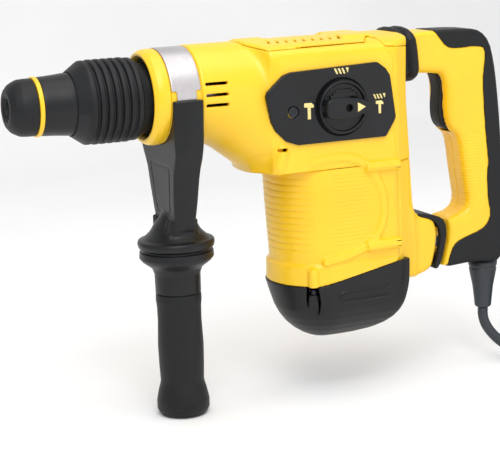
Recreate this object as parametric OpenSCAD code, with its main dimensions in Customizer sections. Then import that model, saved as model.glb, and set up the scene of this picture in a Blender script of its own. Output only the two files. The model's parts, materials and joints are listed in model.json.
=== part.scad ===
// Combination hammer drill with a vertical motor, a side handle and a sprung rear handle.
// +X runs from the nose to the rear handle, +Z is up, and the origin is the mouth of the
// tool bore on the spindle's axis. The mode selector faces -Y.

/* [Nose and tool holder] */
// Radius of the tool bore
bore_r = 9.05; // [8.9:0.05:9.3]
// Depth of the tool bore
bore_depth = 88; // [80:1:92]
// Distance from the mouth of the bore to the front of the collar
nose_len = 111; // [106:1:135]
// Radius of the nose cap
cap_r = 23; // [21:0.5:24]
// Length of the nose cap
cap_len = 20; // [16:1:24]
// Width of the coloured ring behind the cap
ring_w = 4; // [3:0.5:6]
// Radius of the front sleeve where it meets the locking sleeve
front_r = 25.5; // [25:0.1:26.5]
// Radius over the ribs of the locking sleeve
rib_r = 34.5; // [33:0.5:37]
// Length of the locking sleeve
lock_len = 58; // [54:1:66]
// Number of ribs on the locking sleeve
rib_count = 6; // [4:1:7]
// Distance that the locking sleeve slides back
lock_travel = 5; // [3:0.5:6]

/* [Barrel and body] */
// Radius of the barrel
barrel_r = 39; // [38:0.2:47]
// Wall of the barrel and of the gear housing
wall = 3; // [2.5:0.25:3]
// Length from the front of the collar to the front of the gear housing
barrel_len = 94; // [88:1:112]
// Length of the gear housing
body_len = 140; // [134:1:168]
// Half width of the gear housing
body_y = 46; // [44:1:55]
// Height of the housing's top above the spindle
body_top = 40; // [38:1:48]
// Height at which the top cover meets the gear housing
cover_z = 30; // [28:1:32]
// Number of vent slots in the top cover
vent_count = 9; // [4:1:12]

/* [Motor] */
// Radius of the motor housing
motor_r = 46; // [44:0.2:56]
// Height of the seam between the gear housing and the motor, below the spindle
motor_top = 66; // [66:1:70]
// Length of the motor housing
motor_len = 100; // [96:1:120]
// Height of the motor's end cap
end_cap_h = 60; // [50:1:72]
// Radius of the armature's core
core_r = 21; // [17:0.5:24]
// Air gap between the core and the field
air_gap = 1; // [0.5:0.25:2]

/* [Hammer drive] */
// Radius of the cylinder's bore
cyl_r = 20; // [19:0.25:20.5]
// Radius of the crank pin's circle
crank_r = 15; // [12:0.5:15.5]
// Length of the connecting rod between its two pins
rod_len = 60; // [56:1:66]
// Length of the ram
ram_len = 34; // [28:1:36]
// Travel of the ram
ram_travel = 12; // [6:1:13]

/* [Side handle] */
// Width of the clamp band
band_w = 26; // [20:1:30]
// Thickness of the clamp band
band_t = 1.3; // [1:0.1:1.6]
// Distance from the spindle's axis to the underside of the handle's flange
flange_z = 128.5; // [116:0.5:150]
// Radius of the handle's flange
flange_r = 32.5; // [28:0.5:36]
// Length of the side handle below its flange
grip_len = 146; // [120:1:146]
// Radius of the side handle's grip
grip_r = 18.8; // [17:0.2:20]

/* [Rear handle] */
// Half thickness of the rear handle
handle_y = 18; // [15:0.5:21]
// Distance from the gear housing's rear to the back of the handle
handle_len = 109; // [109:1:125]
// Distance that the trigger is squeezed
trigger_travel = 5; // [3:0.5:6]
// Angle through which the sprung handle can be pushed forward
handle_swing = 2; // [1:0.25:2]

/* [Power cord] */
// Diameter of the cord
cord_d = 9.5; // [8:0.5:10]

/* [Hidden] */

// Clearances
run = 0.05;      // a shaft or slide in its bore
free = 0.3;      // faces that pass each other
gap = 1.5;       // faces that only have to miss each other
skin = 0.5;      // a step that keeps two faces out of one plane

// Places along the spindle's axis
body_x0 = nose_len + barrel_len;
body_x1 = body_x0 + body_len;
lock_x1 = nose_len - 3;
lock_x0 = lock_x1 - lock_len;
lip_w = 13.5;
band_x0 = nose_len + lip_w;
band_x1 = band_x0 + band_w;
side_x = (band_x0 + band_x1) / 2;
barrel_big_r = barrel_r + 2;
plate_x1 = body_x1 - 18;
side_y = max(body_y, barrel_big_r);
bore_wall_r = barrel_r - wall;
cover_x0 = body_x0 + 19;

// Gear train: the armature's pinion drives the crank gear behind it and the bevel shaft ahead
gear_m = 1;
pinion_n = 10;
crank_n = 58;
shaft_n = 26;
bevel_m = 1.5;
bevel_pinion_n = 12;
bevel_gear_n = 44;
motor_x = body_x0 + 68;
crank_x = motor_x + gear_m * (pinion_n + crank_n) / 2;
shaft_x = motor_x - gear_m * (pinion_n + shaft_n) / 2;
bevel_pr = bevel_m * bevel_pinion_n / 2;
bevel_gr = bevel_m * bevel_gear_n / 2;
bevel_x = shaft_x - bevel_pr;
gear_z = -58;
gear_w = 10;
plate_z0 = -46;
plate_z1 = -36.5;
motor_flange_z0 = -motor_top - 4;
motor_flange_z1 = gear_z - 3;
pinion_root_r = gear_m * (pinion_n / 2 - 1.05);

// Hammer mechanism, with the crank pin at its rear dead centre
wrist_x = crank_x + crank_r - rod_len;
piston_front = 22;
piston_back = 10;
ram_x1 = wrist_x - piston_front - 2 * crank_r - gap - ram_travel;
ram_x0 = ram_x1 - ram_len;
cyl_x0 = ram_x0 - 4;
cyl_x1 = wrist_x + piston_back + 2;
cyl_wall = 4;
holder_r = 17;
seal_r = 29.5;
neck_r = cyl_r + cyl_wall - 1;
spindle_way_r = cyl_r + cyl_wall + 4;
beat_r = 12;
beat_x0 = bore_depth + 8;
beat_travel = 6;
crank_disc_z0 = -22;
crank_disc_z1 = -12;
rod_h = 4.8;
pin_r = 5;

// Motor
motor_z1 = -motor_top;
motor_z0 = motor_z1 - motor_len;
cap_z0 = motor_z0 - end_cap_h;
field_r = motor_r - wall - gap;
core_z0 = -150;
core_z1 = -95;
shaft_r = 5;
comm_r = 12;
comm_z0 = -176;
comm_z1 = -158;
low_bearing_z = -192;
cap_back = body_x1 - 12 - motor_x - motor_r + 20;
cap_screw_x = motor_x - (motor_r - 5) * sin(35);
cap_screw_y = (motor_r - 5) * cos(35);

// Mode selector
knob_x = motor_x;
knob_z = -16;
knob_r = 22.5;
knob_shaft_r = 6;
panel_t = 2.2;
panel_y = -side_y - panel_t;

// Side handle
floor_z = -flange_z - 0.5 - grip_len;
collar_h = 39;
yoke_y = barrel_r + 5.5;
yoke_top_z = 0;

// Rear handle: the upper arm, the grip and the lower arm round the hand gap
back_x = body_x1 + handle_len;
pivot_x = body_x1 + 37;
pivot_z = -150;
pivot_r = 5;
boot_x = body_x1 + 96;
boot_top = -174;
boot_tip = -222;
trig_y = 9;
handle_screw_places = [[26, 30], [78, 6], [75, -76], [70, -140]];

// Cord: its free stretch, then a coil of three layers laid on the surface
coil_x = 565;
coil_y = -10;
coil_in = 45;
coil_out = 75;
coil_h = 3 * cord_d;
coil_top = floor_z + coil_h;
plug_r = 12;
plug_turn = 258;
cord_points = [
    [441, 0, -222.3], [441, 0, -231], [443, -2, -240], [448, -6, -249], [455, -12, -257],
    [463, -19, -263], [472, -27, -268], [482, -36, -270], [495, -47, -270],
    [509, -60, -270]
];

yellow = [0.96, 0.80, 0.20];
black = [0.13, 0.13, 0.14];
rubber = [0.08, 0.08, 0.085];
steel = [0.62, 0.63, 0.65];
dark_steel = [0.35, 0.36, 0.38];
copper = [0.72, 0.42, 0.22];

$fn = 64;

// ---------------------------------------------------------------- helpers

// Turns a profile of [radius, x] points about the X axis
module lathe_x(profile, fn = 96)
    rotate([0, 90, 0])
        rotate_extrude($fn = fn)
            polygon(profile);

// Turns a profile of [radius, z] points about the vertical axis at x
module lathe_z(profile, x = 0, fn = 96)
    translate([x, 0, 0])
        rotate_extrude($fn = fn)
            polygon(profile);

module tube_x(r1, r0, x0, x1)
    lathe_x([[r0, x0], [r1, x0], [r1, x1], [r0, x1]]);

module tube_z(r1, r0, z0, z1, x = 0)
    lathe_z([[r0, z0], [r1, z0], [r1, z1], [r0, z1]], x);

module rod_x(r, x0, x1, y = 0, z = 0)
    translate([x0, y, z])
        rotate([0, 90, 0])
            cylinder(r = r, h = x1 - x0);

module rod_y(r, y0, y1, x = 0, z = 0)
    translate([x, y0, z])
        rotate([-90, 0, 0])
            cylinder(r = r, h = y1 - y0);

module rod_z(r, z0, z1, x = 0, y = 0)
    translate([x, y, z0])
        cylinder(r = r, h = z1 - z0);

module block(lo, hi)
    translate(lo)
        cube(hi - lo);

// Extrudes an outline drawn in the XZ plane from y0 to y1
module slab_y(y0, y1)
    translate([0, y1, 0])
        rotate([90, 0, 0])
            linear_extrude(y1 - y0)
                children();

function involute(a) = tan(a) * 180 / PI - a;

// Half of a tooth's angle at radius r, thinned for backlash
function tooth_half(r, n, m, thin) =
    let (rp = n * m / 2, rb = rp * cos(20))
    thin * 90 / n + involute(20) - (r > rb ? involute(acos(rb / r)) : 0);

function gear_outline(n, m, thin = 0.84, add = 0.8, ded = 1.05) =
    let (rp = n * m / 2, rb = rp * cos(20), ra = rp + add * m, rf = rp - ded * m,
         rm = max(rf, rb) * 0.5 + rp * 0.5)
    [for (i = [0 : n - 1], s = [-1, 1], k = [0 : 3])
        let (r = s < 0 ? [rf, rm, rp, ra][k] : [ra, rp, rm, rf][k],
             a = i * 360 / n + s * tooth_half(r, n, m, thin))
        [r * cos(a), r * sin(a)]];

module spur_gear(n, m, z0, z1, x, turn = 0)
    translate([x, 0, z0])
        rotate([0, 0, turn])
            linear_extrude(z1 - z0)
                polygon(gear_outline(n, m));

// A tube of radius r swept along a list of points, with a steady side direction
function unit(v) = v / norm(v);
function way(p, i) = unit(p[min(i + 1, len(p) - 1)] - p[max(i - 1, 0)]);

module sweep(p, r, side, sides)
{
    points = [for (i = [0 : len(p) - 1])
        let (d = way(p, i), u = unit(side - (side * d) * d), w = cross(d, u))
        for (k = [0 : sides - 1])
            p[i] + r * (cos(360 * k / sides) * u + sin(360 * k / sides) * w)];
    walls = [for (i = [0 : len(p) - 2], k = [0 : sides - 1])
        let (a = i * sides + k, b = i * sides + (k + 1) % sides)
        [a, a + sides, b + sides, b]];
    ends = [[for (k = [0 : sides - 1]) k],
            [for (k = [sides - 1 : -1 : 0]) (len(p) - 1) * sides + k]];
    polyhedron(points, concat(walls, ends), convexity = 6);
}

// A coil spring along +X from x0 to x1
module spring_x(r, wire, x0, x1, turns, y = 0, z = 0)
{
    steps = turns * 12;
    path = [for (i = [0 : steps])
        [x0 + wire / 2 + (x1 - x0 - wire) * i / steps,
         y + r * cos(30 * i), z + r * sin(30 * i)]];
    sweep(path, wire / 2, [1, 0.01, 0], 6);
}

// ---------------------------------------------------------------- root: casings

module body_outline()
    offset(r = 9, $fn = 32)
        offset(delta = -9)
            translate([-side_y, -motor_top])
                square([2 * side_y, motor_top + body_top]);

// The gear housing's outside, from its front to its rear
module body_block(x0, x1, inset = 0)
    translate([x0, 0, 0])
        rotate([90, 0, 90])
            linear_extrude(x1 - x0)
                offset(delta = -inset)
                    body_outline();

module gear_housing()
    color(yellow)
        difference()
        {
            union()
            {
                rod_x(barrel_r, nose_len + lip_w, band_x1 + gap);
                rod_x(barrel_big_r, band_x1 + gap, cover_x0 - skin);
                intersection()
                {
                    body_block(cover_x0 - 1, body_x1);
                    block([0, -99, -motor_top], [999, 99, cover_z]);
                }
                hull()
                {
                    rod_x(barrel_big_r - 1, body_x0 - 34, body_x0 - 33, $fn = 32);
                    body_block(cover_x0 - 1, cover_x0, skin);
                }
            }
            rod_x(bore_wall_r, 0, cover_x0 - wall);
            rod_x(spindle_way_r, 0, body_x0 + 30);
            block([body_x0 + 23, -side_y + wall, -motor_top - 1],
                  [body_x1 - wall, side_y - wall, cover_z + 1]);
            barrel_vents();
            rod_y(knob_shaft_r + run, -side_y - 1, -side_y + 9, knob_x, knob_z);
        }

module barrel_vents()
    for (z = [11, 2, -6.5], s = [-1, 1])
        block([band_x1 + 4, s > 0 ? bore_wall_r - 8 : -barrel_big_r - 1, z - 1.3],
              [band_x1 + 25, s > 0 ? barrel_big_r + 1 : 8 - bore_wall_r, z + 1.3]);

module collar_ring()
    color(yellow)
        lathe_x([
            [barrel_r - 5.5, nose_len], [barrel_r - 2.2, nose_len],
            [barrel_r, nose_len + 3], [barrel_r + 0.8, nose_len + 7],
            [barrel_r + 0.8, nose_len + lip_w - 1], [barrel_r, nose_len + lip_w],
            [barrel_r - 6, nose_len + lip_w], [barrel_r - 6, nose_len + 7],
            [barrel_r - 5.5, nose_len + 7]
        ]);

module top_cover()
    color(yellow)
        difference()
        {
            intersection()
            {
                body_block(cover_x0, body_x1);
                block([0, -99, cover_z], [999, 99, 99]);
            }
            block([body_x0 + 23, -side_y + 12, 0],
                  [body_x1 - wall, side_y - 12, body_top - wall]);
            for (i = [0 : vent_count - 1])
                translate([body_x0 + 40 + 7 * i, 0, body_top])
                    rotate([0, 0, 20])
                        cube([2, 40, 12], center = true);
        }

module motor_outline(inset = 0)
    offset(delta = -inset)
    {
        circle(r = motor_r);
        translate([0, -motor_r])
            square([body_x1 - 12 - motor_x, 2 * motor_r]);
    }

module motor_housing()
    color(yellow)
        difference()
        {
            translate([motor_x, 0, motor_z0])
                linear_extrude(motor_len)
                    motor_outline();
            translate([motor_x, 0, motor_z0 - 1])
                linear_extrude(motor_len + 2)
                    motor_outline(wall);
            case_screws();
        }

module rear_bracket()
    color([0.90, 0.74, 0.20])
        difference()
        {
            union()
            {
                block([body_x1 - 12, -30, motor_z0 - 6], [body_x1 + 7, 30, motor_z1]);
                slab_y(-26, 26)
                    polygon([
                        [body_x1, -118], [body_x1 + 14, -124], [body_x1 + 28, -127],
                        [body_x1 + 34, -134], [body_x1 + 35, -146],
                        [body_x1 + 30, -168], [body_x1 + 8, motor_z0 - 10],
                        [body_x1, motor_z0 - 10]
                    ]);
                for (y = [-14, 14])
                    rod_y(11, y - 4, y + 4, pivot_x, pivot_z);
            }
            block([body_x1 - 13, -30 + wall, motor_z0 - 2],
                  [body_x1 + 7 - wall, 30 - wall, motor_z1 + 1]);
            rod_y(pivot_r, -40, 40, pivot_x, pivot_z);
            for (y = [-1, 1])
                rod_y(11 + gap, y * 30 - 12, y * 30 + 12, pivot_x, pivot_z);
            rod_y(11 + gap, -10, 10, pivot_x, pivot_z);
        }

module cap_slice(r, z, back)
    translate([motor_x, 0, z])
        linear_extrude(1)
            offset(r = r - 20, $fn = 32)
                translate([-20, -20])
                    square([20 + back, 40]);

module motor_end_cap()
    color(black)
    {
        cap_shell();
        tube_z(14, 11, cap_z0 + 6, low_bearing_z + 8, motor_x);
    }

module cap_shell()
    difference()
    {
        hull()
        {
            cap_slice(motor_r, motor_z0 - 1, cap_back);
            cap_slice(motor_r - 1, motor_z0 - 25, cap_back);
            cap_slice(motor_r - 12, cap_z0 + 7, cap_back - 7);
            cap_slice(motor_r - 18, cap_z0, cap_back - 12);
        }
        hull()
        {
            cap_slice(motor_r - wall, motor_z0, cap_back);
            cap_slice(motor_r - wall - 1, motor_z0 - 25, cap_back);
            cap_slice(motor_r - wall - 12, cap_z0 + 9, cap_back - 7);
        }
        block([body_x1 - 12, -31, motor_z0 - 7], [999, 31, motor_z0 + 1]);
        for (s = [-1, 1])
            rod_z(4.5, cap_z0 - 1, motor_z0 - 8, cap_screw_x, s * cap_screw_y);
        for (i = [0 : 4], s = [-1, 1])
            block([motor_x - 34 + 5 * i, s * 20 - 9, cap_z0 - 1],
                  [motor_x - 32 + 5 * i, s * 20 + 9, cap_z0 + 16]);
    }

module selector_panel()
    color(black)
        difference()
        {
            slab_y(panel_y, -side_y)
                polygon([
                    [knob_x - 54, 15], [knob_x + 36, 18], [knob_x + 46, 8],
                    [knob_x + 50, -29], [knob_x + 41, -44], [knob_x - 42, -44],
                    [knob_x - 56, -38], [knob_x - 63, -30], [knob_x - 68, -3]
                ]);
            rod_y(knob_shaft_r + run, panel_y - 1, 0, knob_x, knob_z);
            rod_y(4.5, panel_y - 1, 0, knob_x - 45, knob_z - 1);
        }

module case_screws()
    for (s = [-1, 1], z = [-motor_top - 4, -motor_top - 73])
        rod_x(3, body_x1 - 48, body_x1 - 17, s * (motor_r + 1), z);

module housing_screws()
    color(dark_steel)
    {
        case_screws();
        rod_y(4.3, panel_y, -side_y, knob_x - 45, knob_z - 1);
    }

module end_cap_screws()
    color(dark_steel)
        for (s = [-1, 1])
            rod_z(3.5, motor_z0 - 18, motor_z0 - 8, cap_screw_x, s * cap_screw_y);

// ---------------------------------------------------------------- root: bearings and motor

module bearing_plate()
    color(steel)
        difference()
        {
            block([shaft_x - 9, -side_y + wall, plate_z0],
                  [plate_x1, side_y - wall, plate_z1]);
            rod_z(8 + 8, plate_z0 - 1, plate_z1 + 1, crank_x);
            rod_z(shaft_r + run, plate_z0 - 1, plate_z1 + 1, shaft_x);
        }

module motor_flange()
    color(steel)
        difference()
        {
            block([body_x0 + 23, -side_y + wall, motor_flange_z0],
                  [plate_x1, side_y - wall, motor_flange_z1]);
            rod_z(13, motor_flange_z0 - 1, motor_flange_z1 + 1, motor_x);
            difference()
            {
                block([0, -99, motor_flange_z0 - 1], [999, 99, -motor_top]);
                translate([motor_x, 0, motor_flange_z0 - 2])
                    linear_extrude(9)
                        motor_outline(wall);
            }
        }

module spindle_front_bearing()
    color(steel)
        tube_x(bore_wall_r, neck_r + run, band_x0 + 8, band_x0 + 24);

module spindle_rear_bearing()
    color(steel)
        tube_x(bore_wall_r, cyl_wall + cyl_r + run, bevel_x - 41, bevel_x - 29);

module crank_bearing()
    color(steel)
        tube_z(16, 8 + run, plate_z0, plate_z1, crank_x);

module armature_bearings()
    color(steel)
    {
        tube_z(13, shaft_r + run, motor_flange_z0, motor_flange_z1, motor_x);
        tube_z(11, shaft_r + run, low_bearing_z, low_bearing_z + 9, motor_x);
    }

module field_core()
    color(dark_steel)
        difference()
        {
            rod_z(field_r, core_z0, core_z1, motor_x);
            rod_z(core_r + air_gap, core_z0 - 1, core_z1 + 1, motor_x);
            for (s = [-1, 1])
                block([motor_x - 14, s > 0 ? core_r + 4 : 4 - field_r, core_z0 - 1],
                      [motor_x + 14, s > 0 ? field_r - 4 : -core_r - 4, core_z1 + 1]);
        }

module field_coils()
    color(copper)
        for (s = [-1, 1])
            block([motor_x - 13.5, s > 0 ? core_r + 4.5 : 4.5 - field_r, core_z0 - 6],
                  [motor_x + 13.5, s > 0 ? field_r - 4.5 : -core_r - 4.5, core_z1 + 4]);

module brush_holders()
    color([0.75, 0.6, 0.3])
        for (s = [-1, 1])
            difference()
            {
                block([motor_x - 7, s > 0 ? comm_r + 2 : -motor_r + wall + 2, comm_z0 + 2],
                      [motor_x + 7, s > 0 ? motor_r - wall - 2 : -comm_r - 2, comm_z1 - 2]);
                block([motor_x - 4, s > 0 ? comm_r : -motor_r + wall + 5, comm_z0 + 4],
                      [motor_x + 4, s > 0 ? motor_r - wall - 5 : -comm_r, comm_z1 - 4]);
            }

module carbon_brushes()
    color([0.2, 0.2, 0.21])
        for (s = [-1, 1])
            block([motor_x - 3.9, s > 0 ? comm_r + 0.2 : -comm_r - 16, comm_z0 + 4.1],
                  [motor_x + 3.9, s > 0 ? comm_r + 16 : -comm_r - 0.2, comm_z1 - 4.1]);

module neck_seal()
    color(black)
        lathe_x([
            [neck_r + run, nose_len - 5], [seal_r, nose_len - 5], [seal_r, nose_len + 7],
            [barrel_r - 6, nose_len + 7], [barrel_r - 6, nose_len + lip_w],
            [bore_wall_r, nose_len + lip_w], [bore_wall_r, nose_len + lip_w + 7],
            [neck_r + run, nose_len + lip_w + 7]
        ]);

module pivot_pin()
    color(steel)
        rod_y(pivot_r, -18, 18, pivot_x, pivot_z);

module joint_gasket()
    color(rubber)
        slab_y(-24, 24)
            difference()
            {
                polygon([
                    [body_x1 + 14, -124], [body_x1 + 30, -124.5], [body_x1 + 41, -130],
                    [body_x1 + 44, -142], [body_x1 + 42, -158], [body_x1 + 36, -170],
                    [body_x1 + 30, -170], [body_x1 + 35, -146],
                    [body_x1 + 34, -134], [body_x1 + 28, -127]
                ]);
                translate([pivot_x, pivot_z])
                    circle(r = 11 + gap);
            }

module arm_ring(x0, x1, grow)
    block([x0, -handle_y - grow, 2 - grow], [x1, handle_y + grow, body_top + grow]);

module handle_bellows()
    color(rubber)
        difference()
        {
            union()
            {
                arm_ring(body_x1, body_x1 + 16, 4);
                arm_ring(body_x1 + 2, body_x1 + 6, 7);
                arm_ring(body_x1 + 9, body_x1 + 13, 6);
            }
            arm_ring(body_x1 - 1, body_x1 + 17, gap);
        }

module damper_spring()
    color(steel)
        spring_x(7, 2, body_x1 + free, body_x1 + 13, 4, 0, 21);

// ---------------------------------------------------------------- spindle and tool holder

module spindle()
    color(steel)
        difference()
        {
            lathe_x([
                [bore_r, 0], [15, 0], [15, cap_len + ring_w], [holder_r, cap_len + ring_w],
                [holder_r, nose_len - 11], [neck_r, nose_len - 11], [neck_r, cyl_x0 - 6],
                [cyl_r + cyl_wall, cyl_x0 - 6], [cyl_r + cyl_wall, cyl_x1],
                [cyl_r, cyl_x1], [cyl_r, cyl_x0], [beat_r, cyl_x0],
                [beat_r, bore_depth], [bore_r, bore_depth]
            ]);
            for (s = [-1, 1])
            {
                rod_x(3.45, 58, 74, s * 13);
                block([58, s > 0 ? 13 : -30, -3.45], [74, s > 0 ? 30 : -13, 3.45]);
            }
        }

module bevel_gear()
    color(dark_steel)
        difference()
        {
            union()
            {
                rod_x(bevel_gr - 1, bevel_x - 8, bevel_x - 1.7);
                for (i = [0 : bevel_gear_n - 1])
                    rotate([90 + (i + 0.5) * 360 / bevel_gear_n, 0, 0])
                        bevel_tooth();
            }
            rod_x(cyl_r + cyl_wall, 0, 999);
        }

// One tooth of the crown, on the pitch cone whose apex is on the shaft's axis
module bevel_tooth()
    translate([bevel_x, cyl_r + cyl_wall - 0.5, 0])
        rotate([-90, -90, 0])
            linear_extrude(bevel_gr - cyl_r - cyl_wall)
                polygon([[-0.85, -3], [0.85, -3], [0.45, 1.6], [-0.45, 1.6]]);

module nose_cap()
    color(rubber)
        lathe_x([
            [11.5, 0], [11.5, -1.5], [12.5, -3], [15, -2.4], [19, 1], [22, 5],
            [cap_r, 9], [cap_r, cap_len], [15, cap_len], [15, 0]
        ]);

module nose_ring()
    color(yellow)
        tube_x(front_r - 1, 15, cap_len, cap_len + ring_w);

module front_sleeve()
    color(black)
        lathe_x([
            [holder_r, cap_len + ring_w], [front_r - 1.4, cap_len + ring_w],
            [front_r, lock_x0 - 4], [front_r, lock_x0 + 10], [holder_r, lock_x0 + 10]
        ]);

module locking_rollers()
    color(dark_steel)
        for (s = [-1, 1])
            rod_x(3.4, 58.5, 73.5, s * 13);

module lock_spring()
    color(steel)
        spring_x(20, 2, lock_x0 + 29.3, nose_len - 11.3, 4);

module lock_sleeve()
    color(black)
    {
        rib_x0 = lock_x0 + 16;
        rib_pitch = (lock_x1 - 4 - rib_x0) / rib_count;
        lathe_x(concat(
            [[front_r + free, lock_x0], [front_r + 1, lock_x0 + 1],
             [rib_r - 1, lock_x0 + 12]],
            [for (i = [0 : rib_count - 1], p = [[0, 0], [1.5, 0.28], [1.5, 0.72], [0, 0.95]])
                [rib_r - 1.5 + p[0], rib_x0 + (i + p[1]) * rib_pitch]],
            [[seal_r + 1.5, lock_x1], [seal_r + free + 0.1, lock_x1],
             [seal_r + free + 0.1, lock_x0 + 29],
             [holder_r + free, lock_x0 + 29], [holder_r + free, lock_x0 + 26],
             [front_r + 2, lock_x0 + 26], [front_r + free, lock_x0 + 18]]));
    }

// ---------------------------------------------------------------- hammer mechanism

module piston()
    color(steel)
        difference()
        {
            rod_x(cyl_r - run, wrist_x - piston_front, wrist_x + piston_back);
            block([wrist_x - 12, -30, -rod_h - free], [wrist_x + 20, 30, rod_h + free]);
            rod_z(pin_r + run, -13, 13, wrist_x);
        }

module con_rod()
    color(dark_steel)
    {
        rod_z(10, -rod_h, rod_h, wrist_x);
        rod_z(pin_r, -12, 12, wrist_x);
        block([wrist_x, -5, -rod_h], [wrist_x + rod_len, 5, rod_h]);
        rod_z(11, -rod_h, rod_h, wrist_x + rod_len);
    }

module ram()
    color(steel)
        lathe_x([
            [0, ram_x0], [cyl_r - 2, ram_x0], [cyl_r - run, ram_x0 + 2],
            [cyl_r - run, ram_x1 - 1], [cyl_r - 1, ram_x1], [0, ram_x1]
        ]);

module beat_piece()
    color(dark_steel)
        lathe_x([
            [0, bore_depth + 0.5], [7, bore_depth + 0.5], [7, beat_x0], [beat_r - run, beat_x0],
            [beat_r - run, cyl_x0 - 8], [8, cyl_x0 - 6], [8, ram_x0 - 0.5],
            [0, ram_x0 - 0.5]
        ]);

// ---------------------------------------------------------------- motor and gears

module armature_shaft()
    color(steel)
    {
        rod_z(shaft_r, low_bearing_z - 2, motor_flange_z1, motor_x);
        spur_gear(pinion_n, gear_m, motor_flange_z1, gear_z + gear_w + 1, motor_x);
    }

module armature_core()
    color([0.5, 0.32, 0.2])
    {
        tube_z(core_r, shaft_r, core_z0, core_z1, motor_x);
        tube_z(core_r - 4, shaft_r, core_z0 - 5, core_z0, motor_x);
        tube_z(core_r - 4, shaft_r, core_z1, core_z1 + 5, motor_x);
    }

module commutator()
    color(copper)
        difference()
        {
            tube_z(comm_r, shaft_r, comm_z0, comm_z1, motor_x);
            for (i = [0 : 11])
                translate([motor_x, 0, comm_z0 - 1])
                    rotate([0, 0, i * 30])
                        translate([comm_r - 0.6, -0.3, 0])
                            cube([2, 0.6, 30]);
        }

module cooling_fan()
    color([0.25, 0.25, 0.27])
        translate([motor_x, 0, 0])
        {
            tube_z(motor_r - wall - 6, shaft_r, -88, -86);
            tube_z(9, shaft_r, -88, -75);
            for (i = [0 : 8])
                rotate([0, 0, 40 * i])
                    translate([8, -1, -87])
                        cube([motor_r - wall - 15, 2, 11]);
        }

module bevel_pinion()
    color(dark_steel)
    {
        spur_gear(shaft_n, gear_m, gear_z, gear_z + gear_w, shaft_x, 180 / shaft_n);
        rod_z(shaft_r, gear_z + gear_w - 1, -bevel_gr + 1, shaft_x);
        translate([shaft_x, 0, -bevel_gr])
            cylinder(r1 = bevel_pr - 1.9, r2 = bevel_pr - 3.7, h = 7);
        for (i = [0 : bevel_pinion_n - 1])
            translate([shaft_x, 0, -bevel_gr])
                rotate([0, 0, i * 360 / bevel_pinion_n])
                    slab_y(-0.6, 0.6)
                        polygon([[3, 0], [bevel_pr + 1.1, 0], [bevel_pr - 0.8, 7], [3, 7]]);
    }

module crank_gear()
    color(dark_steel)
    {
        spur_gear(crank_n, gear_m, gear_z, gear_z + gear_w, crank_x, 180 / crank_n);
        rod_z(8, gear_z + gear_w - 1, crank_disc_z0 + 1, crank_x);
        rod_z(crank_r + 7, crank_disc_z0, crank_disc_z1, crank_x);
        rod_z(pin_r, crank_disc_z1 - 1, -rod_h - free, crank_x + crank_r);
    }

module selector_knob()
    color(rubber)
        difference()
        {
            union()
            {
                rod_y(knob_r, panel_y - 4, panel_y - free, knob_x, knob_z);
                rod_y(knob_shaft_r, panel_y - 2, -side_y + 8, knob_x, knob_z);
                slab_y(panel_y - 12, panel_y - 3)
                    polygon([
                        [knob_x - 19, knob_z - 7], [knob_x + 17, knob_z - 6],
                        [knob_x + 21, knob_z], [knob_x + 17, knob_z + 6],
                        [knob_x - 19, knob_z + 7]
                    ]);
            }
            rod_y(2, panel_y - 13, panel_y - 5, knob_x - 7, knob_z);
        }

// ---------------------------------------------------------------- side handle

module clamp_band()
    color([0.76, 0.74, 0.74])
        difference()
        {
            tube_x(barrel_r + run + band_t, barrel_r + run, band_x0 + free, band_x1 - free);
            block([0, -99, -99], [999, 99, yoke_top_z]);
            for (s = [-1, 1], x = [band_x0 - 1, band_x1 - 3])
                block([x, s > 0 ? 20 : -60, -1], [x + 4, s > 0 ? 60 : -20, 5]);
        }

module handle_yoke()
    color(black)
        difference()
        {
            union()
            {
                hull()
                {
                    block([band_x0 + free, -yoke_y, yoke_top_z - 1],
                          [band_x1 - free, yoke_y, yoke_top_z]);
                    block([band_x0 + free + 1, -yoke_y + 1, -46],
                          [band_x1 - free - 1, yoke_y - 1, -45]);
                    block([side_x - 9, -22, 19 - flange_z], [side_x + 9, 22, 20 - flange_z]);
                }
                lathe_z([
                    [0, 20 - flange_z], [grip_r, 20 - flange_z],
                    [flange_r, 5 - flange_z], [flange_r, 1.5 - flange_z],
                    [flange_r - 2, 0.5 - flange_z], [flange_r - 2, -flange_z],
                    [0, -flange_z]
                ], side_x);
            }
            rod_x(barrel_r + run, 0, 999);
            rod_z(4.1, -999, -barrel_r - 8, side_x);
            rod_z(8, -barrel_r - 10, 0, side_x);
        }

module tension_bolt()
    color(steel)
    {
        rod_z(4, -flange_z - 60, -barrel_r - 8, side_x);
        rod_z(7, -barrel_r - 10, -barrel_r - 4, side_x);
    }

module grip_collar()
    color(black)
        difference()
        {
            lathe_z([
                [0, -flange_z - 0.5], [flange_r - 2, -flange_z - 0.5],
                [flange_r - 1, -flange_z - 1.5], [flange_r - 1, -flange_z - 9],
                [grip_r + 0.4, -flange_z - 20], [grip_r + 0.4, -flange_z - collar_h],
                [0, -flange_z - collar_h]
            ], side_x);
            rod_z(4 + run, -999, 0, side_x);
        }

module side_grip()
    color(rubber)
        difference()
        {
            lathe_z([
                [0, -flange_z - collar_h], [grip_r - 0.6, -flange_z - collar_h],
                [grip_r, -flange_z - collar_h - 6], [grip_r + 0.8, -flange_z - 0.55 * grip_len],
                [grip_r, floor_z + 26], [grip_r + 3.6, floor_z + 12],
                [grip_r + 3.6, floor_z + 5], [grip_r + 1, floor_z + 1],
                [grip_r - 2, floor_z], [0, floor_z]
            ], side_x);
            rod_z(4 + run, -flange_z - 62, 0, side_x);
        }

// ---------------------------------------------------------------- rear handle

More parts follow.
